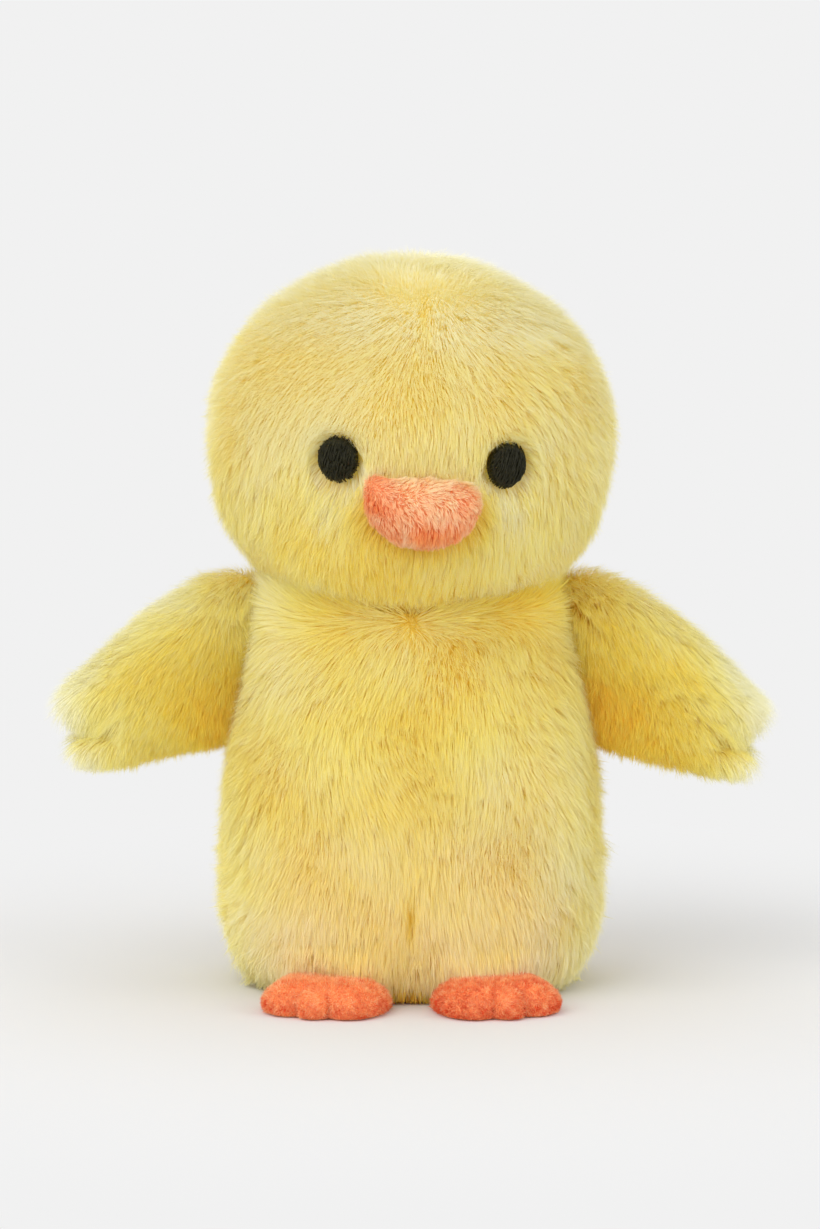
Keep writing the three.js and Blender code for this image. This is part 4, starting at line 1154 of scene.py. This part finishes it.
# Feet: flat pads with three toes, their upper sewn down between the toes
foot = {
    "half": 14.5, "length": 22.0, "height": 7.2, "seam": 2.4, "middle": 9.9, "toePower": 2.3,
    "heelPower": 4.0, "toeDepth": 2.6, "toePitch": 46.0, "instep": 0.45, "place": (16.4868, -29.1393, 0.0),
    "splay": 16.815, "soleShares": (0.3, 0.6, 0.85, 0.94, 0.98), "soleRise": 0.4, "topLift": 86,
    "crease": 0.5, "creaseWidth": 6, "creaseFrom": (0.7, 1.0), "creaseHeld": 0.6,
    "pad": {"inset": 0.5, "columns": 144, "lifts": 14}, "fibre": {"inset": 1.9, "columns": 48, "lifts": 6},
}
footFur = {
    **shortPile, "strands": 26000, "height": 0.75, "lay": 0.5, "steps": (0.0, 1.0), "taper": (1.0, 0.0),
    "tuft": 0.9, "pull": 0.3, "tuftLean": 0.5, "uneven": 0.3, "loose": 0.15, "roll": 0.4, "vary": 0.45,
    "fleck": 0.12,
}
footCoat = {
    "lay": (0.0, -0.8, -0.2), "swirl": 6, "swirlShare": 0.5, "heightWave": (4, 0.2),
    "rim": (0.75, 1.0), "rimTop": (4.6, 2.6), "fineLength": 2.2, "rimLength": 1.8,
}
# mottled, and deeper along the rim
footTint = {"base": 0.82, "side": -0.12, "wave": (6, 0.12), "fine": 0.16, "rim": -0.45}


def footSkin(inset, columns, lifts):
    # Rings of a scalloped outline: flat below, then spread cos(lift)^instep and height sin(lift) above.
    angle = np.linspace(-np.pi, np.pi, columns, endpoint=False)
    across, ahead = np.sin(angle), np.cos(angle)
    fromToe = np.degrees(np.abs(angle))
    power = np.where(ahead > 0, foot["toePower"], foot["heelPower"])
    long = np.where(ahead > 0, foot["length"] - foot["middle"], foot["middle"])
    reach = (np.abs(across / foot["half"]) ** power + np.abs(ahead / long) ** power) ** (-1 / power)
    turns = fromToe / foot["toePitch"]
    scallop = np.where(turns < 1, foot["toeDepth"] * (1 - np.abs(np.cos(turns * np.pi))), 0)
    radius = reach - scallop - inset
    lift = np.radians(np.linspace(0, foot["topLift"], lifts + 1))
    crown = foot["height"] - inset - foot["seam"]
    low = foot["soleRise"] * inset
    soleHeights = [low] * (len(foot["soleShares"]) - 1) + [foot["soleRise"] * foot["seam"]]
    shares = np.concatenate([foot["soleShares"], np.cos(lift) ** foot["instep"]])[:, None]
    heights = np.concatenate([soleHeights, foot["seam"] + crown * np.sin(lift)])[:, None]
    groove = bell(fromToe, foot["toePitch"] / 2, foot["creaseWidth"]) * ramp(shares, *foot["creaseFrom"])
    heights = heights - foot["crease"] * groove * (heights > foot["seam"])
    rings = asVectors(shares * radius * across, -foot["middle"] - shares * radius * ahead, heights)
    sewn = (groove > foot["creaseHeld"]) | (heights <= foot["seam"])
    held = np.concatenate([[True], sewn.ravel(), [False]])
    poles = [[0, -foot["middle"], height] for height in (low, foot["height"] - inset)]
    return *closedSkin(rings, *poles), held


def onFoot(local, sign):
    # from a foot's own directions to the toy's, mirrored for the right foot
    return (local @ turnedZ(foot["splay"]).T) * (sign, 1, 1)


vertices, triangles, held = footSkin(**foot["pad"])
vertices = stuffed(vertices, triangles, held)
core, coreFaces, _ = footSkin(**foot["fibre"])
for side, sign in sides:
    body = f"foot_{side}"
    place = np.array(foot["place"]) * (sign, 1, 1)
    shown, padding = onFoot(vertices, sign) + place, onFoot(core, sign) + place
    pad = meshPiece(f"foot_pad_{side}", shown, triangles[:, ::sign], footBacking, body)
    fibrePiece(f"foot_fibre_{side}", padding, coreFaces[:, ::sign], body, f"foot_padding_{side}")
    points, normals = rootsOver(vertices, triangles, footFur["strands"], 15 + sign)
    x, y, z = points.T
    comb = np.array(footCoat["lay"]) + footCoat["swirlShare"] * swirls(points, footCoat["swirl"], 96)
    comb = alongSurface(comb, normals) * footFur["lay"]
    edge = np.hypot(x / foot["half"], (y + foot["middle"]) / (foot["length"] - foot["middle"]))
    rim = ramp(edge, *footCoat["rim"]) * ramp(z, *footCoat["rimTop"])
    rim = rim * varied(points, footCoat["rimLength"], 1.0, 102)
    fine = waves(points, footCoat["fineLength"], 101)
    coat = {
        "points": onFoot(points, sign) + place, "normals": onFoot(normals, sign), "comb": onFoot(comb, sign),
        "height": footFur["height"] * varied(points, *footCoat["heightWave"], 99),
        "tint": tinted(points, footTint, 100, side=sign, fine=fine, rim=rim), "loose": np.ones(len(points)),
    }
    upper = z > foot["seam"]
    panels = {f"foot_upper_{side}": upper, f"foot_sole_{side}": ~upper}
    furPieces("nap", coat, panels, footFur, body, footPile, 111 + sign)
print("feet covered")

# Inside: lumps of fibre in the head, body and beak
inside = {
    "head": {"inset": 8.4, "rows": 44, "columns": 72},
    "body": {"inset": 8.4, "underside": 3.2, "socket": 49.0, "rows": 34, "capRows": 8, "columns": 72},
    "lump": 14.0, "depth": 0.6,
}


def lumpy(vertices, triangles, seed):
    # the surface moved along its normals by smooth noise
    moved = inside["depth"] * waves(vertices, inside["lump"], seed)
    return vertices + cornerNormals(vertices, triangles) * moved[:, None]


vertices, triangles = eggSkin(**inside["head"])
fibrePiece("head_fibre", onHead(lumpy(vertices, triangles, 121)), triangles, "head", "head_stuffing")
vertices, triangles = barrelSkin(**inside["body"])
fibrePiece("body_fibre", lumpy(vertices, triangles, 122), triangles, "body", "body_stuffing")
vertices, triangles = beakSkin(**beak["fibre"])
fibrePiece("beak_fibre", onHead(onBeak(vertices)), triangles, "head", "beak_stuffing")
print("fibre in place")

# Base: a flat oval of cloth, rounded over at its edge; its profile goes through (share, rise) from below
base = {
    "thickness": 2.4, "inset": 5.5, "low": 0.05, "columns": 160,
    "profile": (
        (0.25, 0.0), (0.5, 0.0), (0.75, 0.0), (0.92, 0.0), (0.97, 0.05),
        (0.99, 0.2), (1.0, 0.5), (0.99, 0.85), (0.95, 1.0), (0.6, 1.0),
    ),
}
ovalX, ovalY = barrelOval(base["columns"])
baseHalf = barrelHalf(np.array(base["thickness"]))
wide, deep = baseHalf - base["inset"], baseHalf * barrel["depthRatio"] - base["inset"]
share, rise = np.array(base["profile"]).T[:, :, None]
rings = asVectors(wide * share * ovalX, deep * share * ovalY, base["low"] + rise * base["thickness"])
vertices, triangles = closedSkin(rings, [0, 0, base["low"]], [0, 0, base["low"] + base["thickness"]])
pad = meshPiece("base_cloth", vertices, triangles, furBacking, "body")
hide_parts("base_panel")

# Neck seam: a gathered thread that waves in and out on its way round, on a sphere round the head's middle
neck = {
    "radius": 17.6, "gather": 1.6, "stitches": 26, "sphere": 50.6, "thread": 0.9, "steps": 260, "sides": 8,
}
around = np.linspace(0, 2 * np.pi, neck["steps"])
out = neck["radius"] + neck["gather"] * np.sin(neck["stitches"] * around)
level = headMiddle[2] - np.sqrt(neck["sphere"] ** 2 - out ** 2)
ring = np.stack([out * np.cos(around), out * np.sin(around), level], 1)
vertices, triangles = tubes(ring[None], neck["thread"], neck["sides"], straightUp)
piece = meshPiece("neck_gathering", vertices, triangles, seamThread, "neck")
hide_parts("neck_seam_ring")

# Wing tabs: a strip from inside the side seam, rolled at its outer edge, carried along the wing's root
tab = {
    "deep": 8.0, "half": 0.55, "roll": 0.75, "rollTurn": 0.75, "rollSteps": 14, "rollEnd": -1.2,
    "flatSteps": 8, "long": 35.0, "steps": 30, "wave": 0.12, "waveLength": 3, "middle": -3.0,
}
bend = np.linspace(-tab["rollTurn"] * np.pi, tab["rollTurn"] * np.pi, tab["rollSteps"])
inward = np.linspace(tab["rollEnd"], -tab["deep"], tab["flatSteps"])
outward = np.linspace(-tab["deep"], tab["rollEnd"], tab["flatSteps"])
outlineX = np.concatenate([tab["roll"] * np.cos(bend), inward, outward])
outlineY = np.concatenate([tab["roll"] * np.sin(bend), tab["half"] + 0 * inward, -tab["half"] + 0 * outward])
level = np.linspace(-0.5, 0.5, tab["steps"])[:, None] * tab["long"]
sway = tab["wave"] * np.sin(level / tab["waveLength"])
ends = [[tab["middle"], float(sway[k, 0]), float(level[k, 0])] for k in (0, -1)]
vertices, triangles = closedSkin(asVectors(outlineX, outlineY + sway, level), *ends)
for side, sign in sides:
    axes, place = wingFrame(sign)
    strip = vertices @ axes + place
    piece = meshPiece(f"wing_strip_{side}", strip, triangles[:, ::sign], furBacking, "body")
    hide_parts(f"wing_tab_{side}")

# Pouch: two cloth halves drawn in above and below, gathered along their seam, and its pellets
pouch = {
    "half": (25.0, 19.0), "rise": 8.5, "middle": 11.2, "power": 0.7, "cloth": 0.9, "gap": 0.15, "gathers": 44,
    "gatherDepth": 0.012, "gatherFade": 6, "rows": 14, "columns": 132, "pellet": 1.45, "spacing": 3.3,
    "jitter": 0.25, "pelletGap": 0.6, "fillPower": 2.2,
}


def pouchRings(inset, sign):
    # Ovals of spread cos(lift)^power at height sin(lift), with small waves that fade away from the seam.
    lift = np.linspace(0, np.pi / 2, pouch["rows"] + 1)[:-1, None]
    around = ringTurns(pouch["columns"])[None]
    gathers = pouch["gatherDepth"] * np.exp(-lift * pouch["gatherFade"]) * np.sin(pouch["gathers"] * around)
    spread = np.cos(lift) ** pouch["power"] * (1 + gathers)
    wide, deep = pouch["half"][0] - inset, pouch["half"][1] - inset
    height = pouch["middle"] + sign * (pouch["gap"] + (pouch["rise"] - inset) * np.sin(lift))
    return asVectors(wide * spread * np.cos(around), deep * spread * np.sin(around), height)


for half, sign in (("top", 1), ("bottom", -1)):
    outer, inner = pouchRings(0.0, sign), pouchRings(pouch["cloth"], sign)
    tops = [pouch["gap"] + pouch["rise"] - inset for inset in (pouch["cloth"], 0)]
    apex = [[0, 0, pouch["middle"] + sign * top] for top in tops]
    vertices, triangles = closedSkin(np.concatenate([inner[::-1], outer]), *apex)
    piece = meshPiece(f"pouch_cloth_{half}", vertices, triangles, pouchCloth, "body")
    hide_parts(f"pouch_{half}")

# each pellet has 12 corners: the even turns of (0, 1, golden ratio) with both signs
rng = np.random.default_rng(131)
room = (*pouch["half"], pouch["rise"])
lattice = [np.arange(-reach, reach + 0.1, pouch["spacing"]) for reach in room]
grid = np.stack(np.meshgrid(*lattice, indexing="ij"), -1).reshape(-1, 3)
grid = grid + pouch["jitter"] * rng.uniform(-1, 1, grid.shape)
within = np.array(room) - pouch["cloth"] - pouch["pellet"] - pouch["pelletGap"]
grid = grid[(np.abs(grid / within) ** pouch["fillPower"]).sum(1) < 1] + (0, 0, pouch["middle"])
golden = (1 + 5 ** 0.5) / 2
pelletCorners = unit(np.array([
    (-1, golden, 0), (1, golden, 0), (-1, -golden, 0), (1, -golden, 0), (0, -1, golden), (0, 1, golden),
    (0, -1, -golden), (0, 1, -golden), (golden, 0, -1), (golden, 0, 1), (-golden, 0, -1), (-golden, 0, 1),
]))
pelletFaces = np.array([
    (0, 11, 5), (0, 5, 1), (0, 1, 7), (0, 7, 10), (0, 10, 11), (1, 5, 9), (5, 11, 4), (11, 10, 2),
    (10, 7, 6), (7, 1, 8), (3, 9, 4), (3, 4, 2), (3, 2, 6), (3, 6, 8), (3, 8, 9), (4, 9, 5), (2, 4, 11),
    (6, 2, 10), (8, 6, 7), (9, 8, 1),
])
vertices = (grid[:, None] + pelletCorners[None] * pouch["pellet"]).reshape(-1, 3)
triangles = (np.arange(len(grid))[:, None, None] * len(pelletCorners) + pelletFaces[None]).reshape(-1, 3)
piece = meshPiece("pellet_filling", vertices, triangles, pelletPlastic, "body")
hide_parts("pouch_pellets")
print("base, neck seam, tabs and pouch in place:", len(grid), "pellets")
